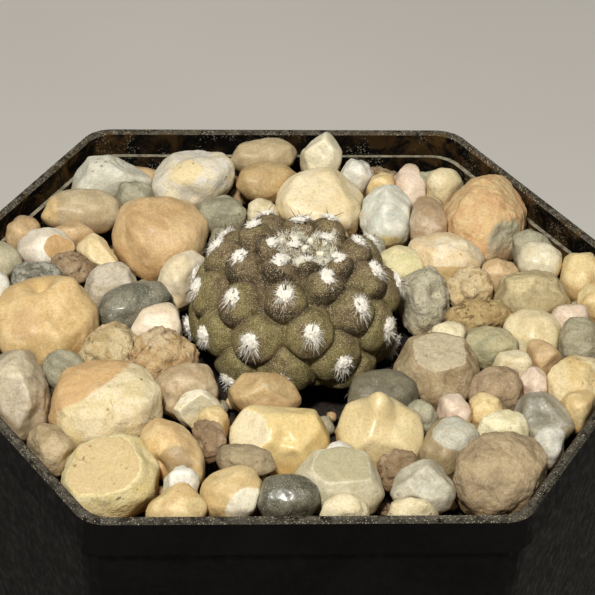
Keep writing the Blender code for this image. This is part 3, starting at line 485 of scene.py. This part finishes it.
# The small stones: look, place, top's height from the rim, length, width and any heading
SMALL_STONES = [
    ("white", 10.2, 31.6, .2, 4.4, 4.2), ("yellow", 13.2, 28.6, .3, 4, 4),
    ("pink", 16.4, 28.6, .7, 5.2, 5.6), ("cream", 20.6, 28.6, .6, 5.2, 5),
    ("brown", 13.5, 34.8, -3.4, 6, 4.6), ("grey", 19.5, 34, -3.2, 5.6, 5),
    ("grey", -9.5, 36.2, -3.6, 7, 3.6), ("tan", -17.5, 35.6, -3.4, 6.6, 4),
    ("grey", -6.9, 22.2, .5, 6.8, 4.4), ("cream", -2.2, 22.4, .2, 4.2, 4),
    ("grey", -17.8, 25.2, .7, 4.6, 4), ("grey", -6.4, 15.8, 0, 5.4, 5),
    ("cream", -.6, 17, 0, 5.8, 5), ("tan", 5.4, 16.8, 0, 5.8, 5.2),
    ("grey", 10.6, 14.4, 0, 4.6, 4.6), ("tan", -31.4, 18.4, 0, 4.4, 4.6),
    ("brown", -25.2, 9.8, .5, 5, 3.8), ("white", -34.4, 4.8, .5, 5.4, 5),
    ("tan", -39.6, 4.6, .6, 6, 5.4, 60), ("cream", -39.4, -1.4, .7, 6.4, 6),
    ("dark", -36.2, -7.6, .7, 5.8, 6.4), ("cream", 25.2, -10.4, .5, 5.2, 3.8),
    ("tan", 28.6, -9.4, .8, 5.4, 3.6, -45), ("pink", 27.2, -14, .5, 3.8, 3.8),
    ("cream", 18.2, -4.6, .4, 4.6, 3.8), ("grey", 13.8, -20, .4, 3.8, 3.6),
    ("pink", 17.6, -19.6, .8, 4.4, 3.8), ("yellow", 21, -19.2, .8, 4.4, 3.8),
    ("yellow", 31.8, -18.4, .6, 4.8, 4.6, 60), ("white", 27.6, -25.4, .6, 4.2, 4, 60),
    ("yellow", -9.2, -21.2, .5, 4.2, 3.4, -60), ("brown", -9.6, -24.6, .8, 6, 3.2, -60),
    ("white", 4.2, -26.6, -.2, 3.8, 3.4), ("brown", 10.6, -28.6, .1, 4.2, 3.4),
    ("cream", 11.4, -36.6, 0, 6, 3.6), ("yellow", -13.4, -35.2, .4, 6.2, 5),
    ("white", -13, -31.8, .5, 4.2, 3.8), ("cream", 4.4, -36.6, .3, 5.2, 3.4),
    ("yellow", 35.6, 9.4, .5, 5, 6.4), ("yellow", 36.4, 3, .5, 4.6, 5.2),
    ("tan", 38.6, -5.6, .6, 5.6, 6.4), ("pink", 32.8, -.6, .2, 4.6, 4),
    ("tan", 25.6, 9.2, .2, 4.4, 4.2), ("grey", 30.2, 16, -.1, 4.8, 4.6),
    ("grey", -25.8, -10, 0, 5, 4.6), ("tan", -25.2, 17.6, -.1, 6, 3.6),
]

# How much the smoothed solids are swollen again
SWELL = 1.05
# How crisp the edges of the worn flats are
FLAT_EDGE = 34.0
# How much the small stones are cut by worn flats, and their first seed
SMALL_CUT = 0.85
SMALL_SEED = 100


def shape_stone(radii, directions, edges, cut, forms, seed):
    """A stone's radii with its flats, dents and lumps, and its zone."""
    rng = np.random.default_rng(seed)
    radii = relax(radii, edges, len(directions) // 900 + 2) * SWELL
    flats = [(facing(*form[1:3]), form[3], form[0] == "F") for form in forms if form[0] in "fF"]
    for _ in range(int(1 + 20 * cut)):
        flats.append((unit(rng.normal(size=3)), rng.uniform(0.97 - 0.24 * cut, 0.99), False))
    total = radii ** -FLAT_EDGE
    painted = np.zeros(len(radii))
    for normal, share, is_painted in flats:
        along = np.maximum(directions @ normal, 0.0)
        term = (along / (share * (radii * along).max())) ** FLAT_EDGE
        total += term
        if is_painted:
            painted += term
    radii = total ** (-1.0 / FLAT_EDGE)
    zone = clamp(1.6 * painted / total - 0.3)
    for key, u, v, *rest in forms:
        nearness = np.clip(directions @ facing(u, v), -1.0, 1.0)
        if key == "z":
            inside = (nearness - math.cos(rest[0])) / 0.35
            zone = np.maximum(zone, clamp(0.5 + inside))
        elif key == "h":
            turn = math.radians(rest[0])
            right, up = directions @ RIGHT - u, directions @ UP - v
            inside = (right * math.cos(turn) + up * math.sin(turn)) / rest[1]
            zone = np.maximum(zone, clamp(0.5 + inside))
        elif key in "bd":
            change = rest[1] if key == "b" else -rest[1]
            radii = radii + change * np.exp(-(np.arccos(nearness) / rest[0]) ** 2)
    lumps = wobble(directions * 1.1, 1.0, 2, seed * 3.1)
    lumps += 0.35 * wobble(directions * 3.0, 1.0, 3, seed)
    return radii * (1 + (0.035 + 0.035 * cut) * lumps), zone


def finish_stone(centre, directions, radii, kind, seed):
    """A stone's points with their grain, and its share of painted foot shade: 0 on its upper half,
    rising to 1 at its foot.
    """
    points = centre + directions * radii[:, None]
    look = KINDS[kind]
    rise = look["grain"] * wobble(points, look["grain_scale"], 5, seed * 0.37)
    points = points + unit(points - centre) * rise[:, None]
    depth = max(1e-6, centre[2] - points[:, 2].min())
    return points, clamp((centre[2] + 0.15 * depth - points[:, 2]) / (0.9 * depth))


def make_pebble(number, kind, cut, base, second, forms=(), zone_colour=None):
    node, name = f"pebble_{number:02d}", f"stone_{number:02d}"
    tree, corners = tree_of(frame["nodes"][node])
    lowest, highest = corners.min(axis=0), corners.max(axis=0)
    centre = (lowest + highest) / 2
    is_large = np.linalg.norm(highest - lowest) > LARGE_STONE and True
    directions, faces, edges = icosphere(6 if is_large else 5)
    radii = cast(tree, centre, directions)
    radii, zone = shape_stone(radii, directions, edges, cut, forms, number)
    points, low = finish_stone(centre, directions, radii, kind, number)
    material = stone_material(name, kind, base, second, zone_colour or base)
    stone = make_mesh(name, points, faces, material, zone=zone, low=low)
    place(stone, node)


def blunt(directions, heading, half, power, below=1.0):
    """Radii of a turned ellipsoid with blunt corners, its lower half 1 / below as deep."""
    turn = np.array(Matrix.Rotation(heading, 3, "Z"))
    along = np.abs(directions @ (turn / half))
    along[:, 2] *= np.where(directions[:, 2] < 0, below, 1.0)
    return (along ** power).sum(axis=1) ** (-1 / power)


def small_stone(bed_tree, seed, look, x, y, top, length, width, heading=0):
    """One of the smaller stones, inside the CAD bed's own outline."""
    directions, _, edges = icosphere(4)
    height = 0.9 * min(length, width)
    centre = np.array([x, y, POT_HEIGHT + top - height / 2])
    half = 1.08 * np.array([length, width, height]) / 2
    radii = blunt(directions, math.radians(heading), half, 2.4, 0.55)
    radii = np.minimum(radii, cast(bed_tree, centre, directions))
    radii = shape_stone(radii, directions, edges, SMALL_CUT, [], seed)[0]
    return finish_stone(centre, directions, radii, SMALL_LOOKS[look][0], seed)


def make_groups(prefix, groups, faces):
    """The bed's loose stones, each given as points and their share of painted foot shade, joined by
    colour.
    """
    for look, stones in groups.items():
        name = f"{prefix}_{look}"
        kind, base, second = SMALL_LOOKS[look]
        points, low = (np.concatenate(parts) for parts in zip(*stones))
        place(make_mesh(name, points, repeated(faces, len(stones[0][0]), len(stones)),
                        stone_material(name, kind, base, second, base),
                        zone=np.zeros(len(points)), low=low), "gravel_bed")


def make_small_stones():
    bed_tree = tree_of(frame["nodes"]["gravel_bed"])[0]
    groups = {}
    for number, (look, *row) in enumerate(SMALL_STONES):
        stone = small_stone(bed_tree, SMALL_SEED + number, look, *row)
        groups.setdefault(look, []).append(stone)
    make_groups("small_stones", groups, icosphere(4)[1])


# Gravel bed

def wall_reach(x, y):
    """How far a place lies inside the pot's inner wall at the bed's top, along the nearest side."""
    return min(INNER_APOTHEM - (x * math.cos(a) + y * math.sin(a))
               for a in (math.tau * (side + 0.5) / 6 for side in range(6)))


def off_cactus(x, y):
    """How far a place lies from the cactus's axis."""
    return math.hypot(x - BODY[0], y - BODY[1])


def make_bed():
    """The dark gritty layer between the stones: a rough top and sides, open below."""
    count = int(2 * BED_REACH / BED_STEP)
    spots = {}
    for i in range(count + 1):
        for j in range(count + 1):
            x, y = -BED_REACH + BED_STEP * i, -BED_REACH + BED_STEP * j
            if wall_reach(x, y) > 0.2 and off_cactus(x, y) > BED_HOLE:
                rise = 0.9 * wobble([(x, y, 3.0)], 0.55, 4, roughness=0.8)[0]
                spots[i, j] = (x, y, BED_TOP - 0.5 + rise)
    quads = [((i, j), (i + 1, j), (i + 1, j + 1), (i, j + 1)) for i, j in spots]
    quads = [quad for quad in quads if all(corner in spots for corner in quad)]
    sides = {side for quad in quads for side in zip(quad, quad[1:] + quad[:1])}
    for a, b in sorted(side for side in sides if side[::-1] not in sides):
        for end in (a, b):
            spots[end, "low"] = (*spots[end][:2], BED_TOP - BED_DEPTH)
        quads.append((b, a, (a, "low"), (b, "low")))
    used = dict.fromkeys(corner for quad in quads for corner in quad)
    order = {corner: index for index, corner in enumerate(used)}
    bed = make_mesh("bed_grit", [spots[corner] for corner in order],
                    [[order[corner] for corner in quad] for quad in quads],
                    earth_material("bed_grit", (.22, .17, .11), (.07, .05, .03)))
    place(bed, "gravel_bed")


def grit_shape(directions, size, rng):
    """Radii of one crumb of grit: a blunt ellipsoid with a few broken faces."""
    half = size * rng.uniform(0.75, 1.1, 3)
    half[2] = min(half[2], size * 0.8)
    radii = blunt(directions, rng.uniform(0, math.tau), half, 2.3)
    for _ in range(7):
        face = np.maximum(directions @ unit(rng.normal(size=3)), 1e-6)
        radii = np.minimum(radii, rng.uniform(0.62, 0.92) * size / face)
    return radii


def make_grit(seed=5):
    """Fine grit lying in the gaps that the larger stones leave, in three colours."""
    rng = np.random.default_rng(seed)
    occupied = [tree_of(thing)[0] for thing in bpy.data.objects
                if thing.name.startswith(("stone_", "small_stones_"))]
    directions, faces, _ = icosphere(3)
    groups = {"tan": [], "grey": [], "brown": []}
    placed = []
    for _ in range(GRIT_TRIES):
        x, y = (rng.uniform(-reach, reach) for reach in GRIT_REACH)
        size = rng.uniform(*GRIT_SIZES)
        if wall_reach(x, y) < size + 0.3 or off_cactus(x, y) < GRIT_HOLE + size:
            continue
        hits = [tree.ray_cast(Vector((x, y, 90)), Vector((0, 0, -1)))[0] for tree in occupied]
        if max(hit.z if hit else 0.0 for hit in hits) > BED_TOP + 1.0:
            continue
        z = BED_TOP + 0.4 * size + rng.uniform(-0.2, 0.9)
        if any(math.hypot(x - a, y - b) < 0.75 * (size + r) for a, b, r in placed):
            continue
        near = min((tree.find_nearest(Vector((x, y, z)))[3] or FAR) for tree in occupied)
        size = min(size, near + 0.25)
        if size < LEAST_GRIT:
            continue
        placed.append((x, y, size))
        points = np.array([x, y, z]) + directions * grit_shape(directions, size, rng)[:, None]
        # Each crumb of grit gets a little painted foot shade all over
        groups[rng.choice(list(groups))].append((points, np.full(len(points), 0.3)))
    make_groups("grit", groups, faces)


# Cactus

BODY = np.array([0.7, 0.0, POT_HEIGHT + 0.6])
BODY_RADIUS = 9.9
BODY_RISE = 7.8
BODY_DROP = 10.0
CROWN_SINK = 3.8
CROWN_WIDTH = 0.4
AREOLE_COUNT = 48
AREOLE_END = math.radians(122)
GOLDEN_ANGLE = math.radians(137.5)
FIRST_AREOLE = math.radians(129)
AXIS_LEAN = (-0.07, 0.11)
REACH_AT_30 = 1.66
CROWN_OFFSET = 3.0
SPREAD_POWER = 0.87
NEIGHBOURS = 4
PACKING = 0.95
CHIN_SHARE = 0.16
TUBERCLE_HEIGHT = 0.52
DOME_REACH = 0.56
UPPER_FLANK = 0.84
LOWER_FLANK = 1.2
RELIEF_END = math.radians(132)
RELIEF_FADE = math.radians(18)
FULL_SPACING = 5.0
# The lower creases are filled by this share of the tubercles' height, and all creases are
# pinched by this share within this many spacings
FILLED_CREASE = 0.48
PINCH = 0.22
PINCH_WIDTH = 0.15
# Cells of the granules per millimetre, whose pale dots are partly painted highlights
GRANULE_SCALE = 6.6
# Hairs of an areole, the crown's clumps of wool, a clump's hairs, and the clumps' reach from
# the crown's axis
AREOLE_HAIRS = 215
CROWN_CLUMPS = 30
CLUMP_HAIRS = 90
CROWN_REACH = 0.36
HAIR_RADIUS = 0.038
CROWN_HAIR_RADIUS = 0.042
SPINE_RADIUS = 0.06


class Cactus:
    """The body's surface as the CAD part has it: ellipsoid, sunken crown, spiral tubercles."""

    def __init__(self):
        number = np.arange(AREOLE_COUNT)
        polar = REACH_AT_30 * ((number + CROWN_OFFSET) / (30.0 + CROWN_OFFSET)) ** SPREAD_POWER
        number, polar = number[polar < AREOLE_END], polar[polar < AREOLE_END]
        self.crown = self.lean(np.array([0, 0, 1]))
        self.areoles = self.lean(toward(polar, FIRST_AREOLE + GOLDEN_ANGLE * number))
        seats = self.base(self.areoles)
        away = np.linalg.norm(seats[:, None] - seats, axis=2)
        self.spacing = PACKING * np.sort(away, axis=1)[:, 1:NEIGHBOURS + 1].mean(axis=1)
        self.side = unit(np.cross((0, 0, 1), seats))
        self.up = unit(np.cross(seats, self.side))
        self.middles = seats - self.up * (CHIN_SHARE * self.spacing)[:, None]

    @staticmethod
    def lean(directions):
        about_x, about_y = AXIS_LEAN
        tip = np.array(Matrix.Rotation(about_y, 3, "Y") @ Matrix.Rotation(about_x, 3, "X"))
        return directions @ tip.T

    @staticmethod
    def base(directions):
        height = np.where(directions[:, 2] > 0.0, BODY_RISE, BODY_DROP)
        width = np.full(len(height), BODY_RADIUS)
        return directions * np.stack([width, width, height], axis=-1)

    def surface(self, directions):
        """Points and normals, and how far each point lies below its areole and how near to a
        crease, in spacings."""
        places = self.base(directions)
        away = places[:, None] - self.middles
        climb = (away * self.up).sum(axis=2)
        stretch = np.where(climb > 0.0, UPPER_FLANK, LOWER_FLANK)
        flat = (away ** 2).sum(axis=2) - climb ** 2
        shares = np.sqrt(np.maximum(flat, 0.0) + (climb * stretch) ** 2) / self.spacing
        order = np.argsort(shares, axis=1)
        rows = np.arange(len(places))
        nearest = order[:, 0]
        fall = shares[rows, nearest]
        crease = shares[rows, order[:, 1]] - fall
        dome = np.sqrt(np.maximum(1 - (fall / DOME_REACH) ** 2, 0.0))
        normals = unit(directions / np.array([BODY_RADIUS, BODY_RADIUS, BODY_RISE]))
        off_crown = np.arccos(np.clip(directions @ self.crown, -1.0, 1.0))
        polar = np.arccos(np.clip(directions[:, 2], -1.0, 1.0))
        fade = clamp((RELIEF_END - polar) / RELIEF_FADE)
        filled = FILLED_CREASE * clamp((polar - 0.9) / 0.5)
        dome = filled + (1 - filled) * dome
        dome -= PINCH * clamp(1 - crease / PINCH_WIDTH) ** 2
        rise = TUBERCLE_HEIGHT * self.spacing[nearest] * dome * fade
        places = places + normals * rise[:, None]
        places[:, 2] -= CROWN_SINK * np.exp(-(off_crown / CROWN_WIDTH) ** 2)
        below = -climb[rows, nearest] / self.spacing[nearest] + CHIN_SHARE
        return places, normals, below, crease


def grow(piece):
    place(piece, "cactus")


def make_body(cactus):
    directions, faces, edges = icosphere(7)
    places, normals, below, crease = cactus.surface(directions)
    places = np.stack([relax(places[:, axis], edges, 2) for axis in range(3)], axis=1)
    places += normals * (0.12 * wobble(places, 0.5, 3, 4.0))[:, None]
    height = clamp((places[:, 2] - 0.5) / 6.5)
    chin = clamp((below - 0.2) / 0.2)
    blotch = 0.55 * wobble(places, 0.22, 3, 9.0)
    warm = clamp(0.22 + 0.6 * height + 0.35 * chin + blotch)
    # Painted shade along the creases between tubercles, deeper higher up
    groove = clamp(1 - crease / 0.22) * (0.55 + 0.45 * height)
    # Dark under each areole: purple-brown pigment deepened by painted shade of the lower flank,
    # more so higher up
    shade = clamp(chin * (0.42 + 0.58 * height) + 0.4 * blotch * chin)
    grow(make_mesh("cactus_body", places + BODY, faces, skin_material(),
                   warm=warm, groove=groove, chin=shade))


def strands(roots, aims, lengths, widths, drop, bend, rng, segments=4):
    """Tapered three-sided hairs, each with its root, aim, length, width, droop and bend."""
    count = len(roots)
    sides = unit(np.cross(aims, rng.normal(size=aims.shape)))
    lift = np.cross(aims, sides)
    phase = rng.uniform(0, math.tau, count)
    size = segments * 3 + 1
    points = np.zeros((count, size, 3))
    for step in range(segments + 1):
        share = step / segments
        middle = roots + aims * (lengths * share)[:, None]
        sway = bend * lengths * share * np.sin(phase + 3.5 * share)
        middle += sides * sway[:, None]
        middle[:, 2] -= drop * share ** 2
        if step == segments:
            points[:, -1] = middle
            break
        width = widths * (1 - 0.7 * share)
        for corner in range(3):
            turn = math.tau * corner / 3
            out = sides * math.cos(turn) + lift * math.sin(turn)
            points[:, step * 3 + corner] = middle + out * width[:, None]
    faces = [(2, 1, 0)]
    for a in range(segments * 3):
        b = a - 2 if a % 3 == 2 else a + 1
        if a < size - 4:
            faces += [(a, b, b + 3), (a, b + 3, a + 3)]
        else:
            faces.append((a, b, size - 1))
    return points.reshape(-1, 3), repeated(np.array(faces), size, count)


def frames_at(cactus):
    """Each areole's place and its sideways, crownward and outward directions."""
    places, normals = cactus.surface(cactus.areoles)[:2]
    return zip(places + BODY, cactus.side, np.cross(normals, cactus.side), normals)


def areole_size(spacing):
    return 0.64 + 0.42 * min(1.0, spacing / FULL_SPACING)


def make_wool(cactus, material, seed=11):
    """White wool: hairs standing out all round each areole's heart, the lower ones hanging."""
    rng = np.random.default_rng(seed)
    count = AREOLE_HAIRS
    roots, aims, lengths, drops = [], [], [], []
    for (spot, side, up, normal), spacing in zip(frames_at(cactus), cactus.spacing):
        share = areole_size(spacing) * rng.uniform(0.85, 1.12)
        turn = rng.uniform(0, math.tau, count)
        spread = np.sqrt(rng.uniform(0, 1, count))
        lift = np.radians(np.where(spread < 0.7, rng.uniform(15, 88, count),
                                   rng.uniform(-5, 40, count)))
        out = 0.85 * np.cos(turn)[:, None] * side + 1.05 * np.sin(turn)[:, None] * up
        aims.append(out * np.cos(lift)[:, None] + normal * np.sin(lift)[:, None])
        down = clamp(-np.sin(turn))
        long = share * rng.uniform(0.35, 1.0, count) * (1 + down * rng.random(count))
        roots.append(spot + out * (0.8 * share * spread)[:, None] - normal * 0.1)
        lengths.append(long)
        drops.append((0.15 + 0.35 * down) * long)
    aims = unit(np.concatenate(aims))
    widths = HAIR_RADIUS * rng.uniform(0.7, 1.3, len(aims))
    hairs = strands(np.concatenate(roots), aims, np.concatenate(lengths), widths,
                    np.concatenate(drops), 0.24, rng)
    grow(make_mesh("areole_wool", *hairs, material))


def make_hearts(cactus, material):
    """The felted heart of each areole, a low ragged cushion under its hairs."""
    directions, faces, _ = icosphere(4)
    hearts = []
    for number, (spot, side, up, normal) in enumerate(frames_at(cactus)):
        size = np.array([0.84, 0.92, 0.42]) * areole_size(cactus.spacing[number])
        rough = 1 + 0.42 * wobble(directions * 2.5, 1.0, 4, number * 2.3)
        local = directions * size * rough[:, None]
        hearts.append(spot + local @ np.stack([side, up, normal]))
    faces = repeated(faces, len(directions), len(hearts))
    grow(make_mesh("areole_hearts", np.concatenate(hearts), faces, material))


def make_crown_wool(cactus, material, seed=23):
    """Cream wool of the youngest areoles: clumps of hairs and cushions in the sunken crown."""
    rng = np.random.default_rng(seed)
    clumps, each = CROWN_CLUMPS, CLUMP_HAIRS
    count = clumps * each
    turn = GOLDEN_ANGLE * np.arange(clumps) + rng.uniform(-0.3, 0.3, clumps)
    tips = toward(CROWN_REACH * np.sqrt((np.arange(clumps) + 0.5) / clumps), turn)
    out = cactus.lean(toward(np.full(clumps, math.pi / 2), turn))
    leans = cactus.crown + rng.uniform(-0.9, 0.5, clumps)[:, None] * out
    leans = np.repeat(leans + 0.25 * rng.normal(size=(clumps, 3)), each, axis=0)
    spread = 0.034 * rng.normal(size=(count, 3))
    places = cactus.surface(unit(cactus.lean(np.repeat(tips, each, axis=0) + spread)))[0]
    aims = unit(leans + 0.38 * rng.normal(size=places.shape))
    long = np.repeat(rng.uniform(0.7, 1.5, clumps), each) * rng.uniform(0.4, 1.0, count)
    points, faces = strands(places + BODY - 0.1 * cactus.crown, aims, long,
                            np.full(count, CROWN_HAIR_RADIUS), 0.1 * long, 0.2, rng)
    shape, triangles, _ = icosphere(3)
    seats = cactus.surface(cactus.lean(tips[::2]))[0] + BODY
    for number, seat in enumerate(seats):
        rough = 1 + 0.6 * wobble(shape * 3.2, 1.0, 4, number * 3.7)
        size = rng.uniform(0.3, 0.55, 3) * np.array([1.0, 1.0, 0.8])
        faces = np.concatenate([faces, triangles + len(points)])
        points = np.concatenate([points, seat + shape * size * rough[:, None]])
    grow(make_mesh("crown_wool", points, faces, material))


def make_spines(cactus, seed=31):
    """A few tiny dark spines in each upper areole, none above the CAD part's top."""
    rng = np.random.default_rng(seed)
    ceiling = cad_box[1][2] / MM - 0.15
    roots, aims, lengths = [], [], []
    for spot, side, up, normal in frames_at(cactus):
        is_low = spot[2] - BODY[2] < 1.0
        for _ in range(int(rng.integers(0, 2)) if is_low else int(rng.integers(2, 5))):
            turn = rng.uniform(0, math.tau)
            lift = math.radians(rng.uniform(12, 50))
            out = math.cos(turn) * side + math.sin(turn) * up
            aims.append(out * math.cos(lift) + normal * math.sin(lift))
            roots.append(spot + out * 0.3 + normal * 0.25)
            room = (ceiling - roots[-1][2]) / max(aims[-1][2], 0.01)
            lengths.append(min(room, rng.uniform(0.8, 1.3 if is_low else 1.8)))
    count = len(aims)
    spines = strands(np.array(roots), np.array(aims), np.array(lengths),
                     np.full(count, SPINE_RADIUS), np.full(count, -0.1), 0.03, rng, 5)
    grow(make_mesh("spines", *spines, spine_material()))


# Other materials

def skin_material():
    """Olive skin, browner above, dark under the areoles with pigment and painted shade, painted
    shade in the creases, and all over fine granules whose pale dots are partly painted highlights.
    """
    n = Nodes("cactus_skin")
    patch = n.ramp(n.noise(0.8, 5, 0.6, 0.5), 0.35, 0.68)
    green = n.mix(patch, linear((.42, .38, .21)), linear((.57, .53, .34)))
    brown = n.mix(patch, linear((.36, .29, .2)), linear((.52, .45, .33)))
    tint = n.math("ADD", n.attribute("warm"), n.times(n.noise(1.6, 5, 0.65), 0.5))
    colour = n.mix(n.ramp(tint, 0.5, 1.02), green, brown)
    ruddy = n.ramp(n.noise(0.35, 4, 0.6, 0.6), 0.54, 0.68, 0, 0.45)
    colour = n.mix(n.times(ruddy, n.attribute("warm")), colour, linear((.42, .25, .17)))
    # Dark under the areoles: pigment and painted shade
    dark = n.times(n.ramp(n.attribute("chin"), 0.15, 0.85), 0.88)
    colour = n.mix(dark, colour, linear((.14, .085, .07)))
    # Painted shade darkens the creases between tubercles
    crease = n.ramp(n.attribute("groove"), 0.15, 0.9, 0, 0.85)
    colour = n.mix(crease, colour, linear((.19, .13, .06)))
    grain = n.noise(5.0, 5, 0.78)
    colour = n.mix(n.ramp(grain, 0.34, 0.54, 0.78, 0.0), colour, linear((.12, .095, .05)))
    # Granules: raised papillae, painted pale partly as their highlights
    shape = n.ramp(n.cells(GRANULE_SCALE), 0.5, 0.2)
    tone = n.add("SeparateColor", {"Color": n.cells(GRANULE_SCALE, output="Color")}, "Red")
    gate = n.ramp(n.noise(1.4, 4, 0.6), 0.28, 0.6, 0.35, 1.0)
    granules = n.times(shape, n.ramp(tone, 0.05, 0.8, 0, 0.85), gate)
    colour = n.mix(granules, colour, linear((.9, .84, .67)))
    # Finer pale specks: painted highlights of the papillae
    papilla_highlights = n.ramp(n.noise(9.0, 3, 0.8), 0.54, 0.66, 0, 0.5)
    colour = n.mix(papilla_highlights, colour, linear((.82, .75, .57)))
    bump = n.bump(granules, 0.06, n.bump(grain, 0.12))
    return n.finish(colour, n.ramp(grain, 0.2, 0.8, 0.5, 0.72), bump, IOR=1.4)


def wool_material(name, colour):
    n = Nodes(name)
    light = linear(colour)
    tone = n.mix(n.ramp(n.noise(2.0, 3, 0.6), 0.3, 0.7), light, scaled(light, 0.86))
    bump = n.bump(n.noise(12.0, 3, 0.6), 0.05)
    return n.finish(tone, 0.8, bump, Sheen_Weight=0.8, IOR=1.45)


def spine_material():
    n = Nodes("spines")
    patch = n.ramp(n.noise(1.8, 3, 0.6), 0.35, 0.65)
    tone = n.mix(patch, linear((.16, .09, .05)), linear((.34, .2, .1)))
    return n.finish(tone, 0.45, n.bump(n.noise(9.0, 3, 0.6), 0.02))


def plastic_material():
    """Black moulded plastic, dusty on its upward faces and earthy inside the collar."""
    n = Nodes("black_plastic")
    normal = n.add("NewGeometry", {}, "Normal")
    height = n.add("SeparateXYZ", {"Vector": n.place}, "Z")
    upward = n.ramp(n.add("SeparateXYZ", {"Vector": normal}, "Z"), 0.2, 0.9)
    level = n.add("VectorMath", {0: n.place, 1: (1.0, 1.0, 0.0)}, "Vector", operation="MULTIPLY")
    inward = n.add("VectorMath", {0: normal, 1: level}, "Value", operation="DOT_PRODUCT")
    high = n.ramp(height, POT_HEIGHT - 9.0, POT_HEIGHT - 4.0)
    inside = n.times(n.ramp(inward, -2.0, -12.0), high)
    base = n.mix(n.ramp(n.noise(0.12, 5, 0.6), 0.35, 0.65), (0.002, 0.002, 0.002),
                 (0.0036, 0.0034, 0.0032))
    film = n.ramp(n.noise(0.9, 6, 0.72), 0.3, 0.62)
    colour = n.mix(n.times(film, upward, 0.9), base, linear((.37, .35, .31)))
    ledge = n.times(upward, n.ramp(height, POT_HEIGHT - 1.0, POT_HEIGHT - 2.5))
    ledge = n.times(ledge, n.ramp(n.noise(0.8, 6, 0.75), 0.36, 0.6, 0.15, 0.95))
    colour = n.mix(ledge, colour, linear((.62, .59, .5)))
    earth = n.ramp(n.noise(0.28, 6, 0.66, 0.8), 0.44, 0.66, 0, 0.8)
    off_middle = n.math("ABSOLUTE", n.add("SeparateXYZ", {"Vector": n.place}, "X"))
    earth = n.times(earth, n.ramp(off_middle, 10.0, 30.0, 0.35, 1.0), inside)
    colour = n.mix(earth, colour, linear((.34, .25, .13)))
    inner = n.times(inside, n.ramp(n.noise(0.25, 3), 0.48, 0.6, 0, 0.5))
    reach = n.math("MAXIMUM", inner, n.times(upward, 0.95))
    gate = n.ramp(n.noise(1.3, 4, 0.6), 0.38, 0.56)
    dots = n.times(n.ramp(n.cells(3.6), 0.42, 0.16), gate, reach)
    colour = n.mix(dots, colour, linear((.7, .67, .58)))
    rough = n.math("ADD", n.times(n.math("MAXIMUM", film, dots), 0.25), 0.5)
    bump = n.bump(dots, 0.08, n.bump(n.noise(3.2, 5, 0.6), 0.03))
    return n.finish(colour, rough, bump, IOR=1.45, Specular_IOR_Level=0.06)


def earth_material(name, light, dark):
    n = Nodes(name)
    tone = n.mix(n.ramp(n.noise(1.1, 7, 0.7, 0.8), 0.35, 0.66), linear(dark), linear(light))
    crumbs = n.ramp(n.cells(1.4), 0.3, 0.12, 0, 0.6)
    crumbs = n.times(crumbs, n.ramp(n.noise(0.7, 4, 0.6), 0.48, 0.58))
    tone = n.mix(crumbs, tone, linear(scaled(light, 2.0)))
    bump = n.bump(n.cells(1.8), 0.35, n.bump(n.noise(1.3, 7, 0.7), 0.5))
    return n.finish(tone, 0.95, bump)


def floor_material():
    n = Nodes("studio_floor")
    tone = n.mix(n.ramp(n.noise(0.01, 3, 0.5), 0.3, 0.7), linear((.78, .77, .75)),
                 linear((.8, .79, .77)))
    return n.finish(tone, 0.7)


# Studio

def make_floor():
    """A pale sheet that runs flat under the pot and curves up far behind it."""
    profile = [(-1200, 0), (1000, 0)]
    for step in range(1, 9):
        turn = math.radians(90 * step / 8)
        profile.append((1000 + 500 * math.sin(turn), 500 - 500 * math.cos(turn)))
    profile.append((1500, 1600))
    size = len(profile)
    points = [(x, y, z) for x in (-2500, 2500) for y, z in profile]
    faces = [(k, k + size, k + size + 1, k + 1) for k in range(size - 1)]
    floor = make_mesh("studio_floor", points, faces, floor_material())


def add_light(name, spot, size, power, colour):
    """A round soft light that points at the cactus."""
    light = bpy.data.lights.new(name, "AREA")
    light.shape = "DISK"
    light.size = size
    light.energy = power
    light.color = colour
    lamp = add_object(name, light)
    lamp.location = spot
    aim = Vector((0.0, 0.0, 0.06)) - Vector(spot)
    lamp.rotation_euler = aim.to_track_quat("-Z", "Y").to_euler()


def add_camera():
    camera = bpy.data.cameras.new("camera")
    camera.lens = LENS
    camera.sensor_width = 36.0
    holder = add_object("camera", camera)
    matrix = Matrix((RIGHT, UP, -AHEAD)).transposed().to_4x4()
    matrix.translation = Vector(EYE + (0, 0, POT_HEIGHT)) * MM
    holder.matrix_world = matrix
    bpy.context.scene.camera = holder


def make_studio():
    make_floor()
    add_light("key", (-0.15, -0.45, 0.77), 0.12, 8.5, (1.0, 0.97, 0.91))
    add_light("fill", (0.5, -0.7, 0.6), 0.9, 0.6, (1.0, 0.93, 0.84))
    world = bpy.data.worlds.new("studio")
    world.use_nodes = True
    background = world.node_tree.nodes["Background"].inputs
    background["Color"].default_value = (1.0, 0.92, 0.8, 1.0)
    background["Strength"].default_value = 0.12
    bpy.context.scene.world = world
    bpy.context.scene.view_settings.view_transform = "Standard"
    add_camera()


# Everything


def place(piece, node):
    """Put a piece on the body, in place of a node of the CAD part."""
    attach(piece, "root")
    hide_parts(node)


def main():
    for number, row in PEBBLES.items():
        make_pebble(number, *row)
    make_small_stones()
    make_bed()
    make_grit()
    cactus = Cactus()
    make_body(cactus)
    wool = wool_material("areole_wool", (.98, .96, .91))
    make_wool(cactus, wool)
    make_hearts(cactus, wool)
    make_crown_wool(cactus, wool_material("crown_wool", (.98, .96, .87)))
    make_spines(cactus)
    soil = earth_material("potting_mix", (.24, .17, .11), (.08, .055, .04))
    for node, material in (("pot", plastic_material()), ("soil", soil)):
        mesh = frame["nodes"][node].data
        mesh.materials.clear()
        mesh.materials.append(material)
    make_studio()


main()
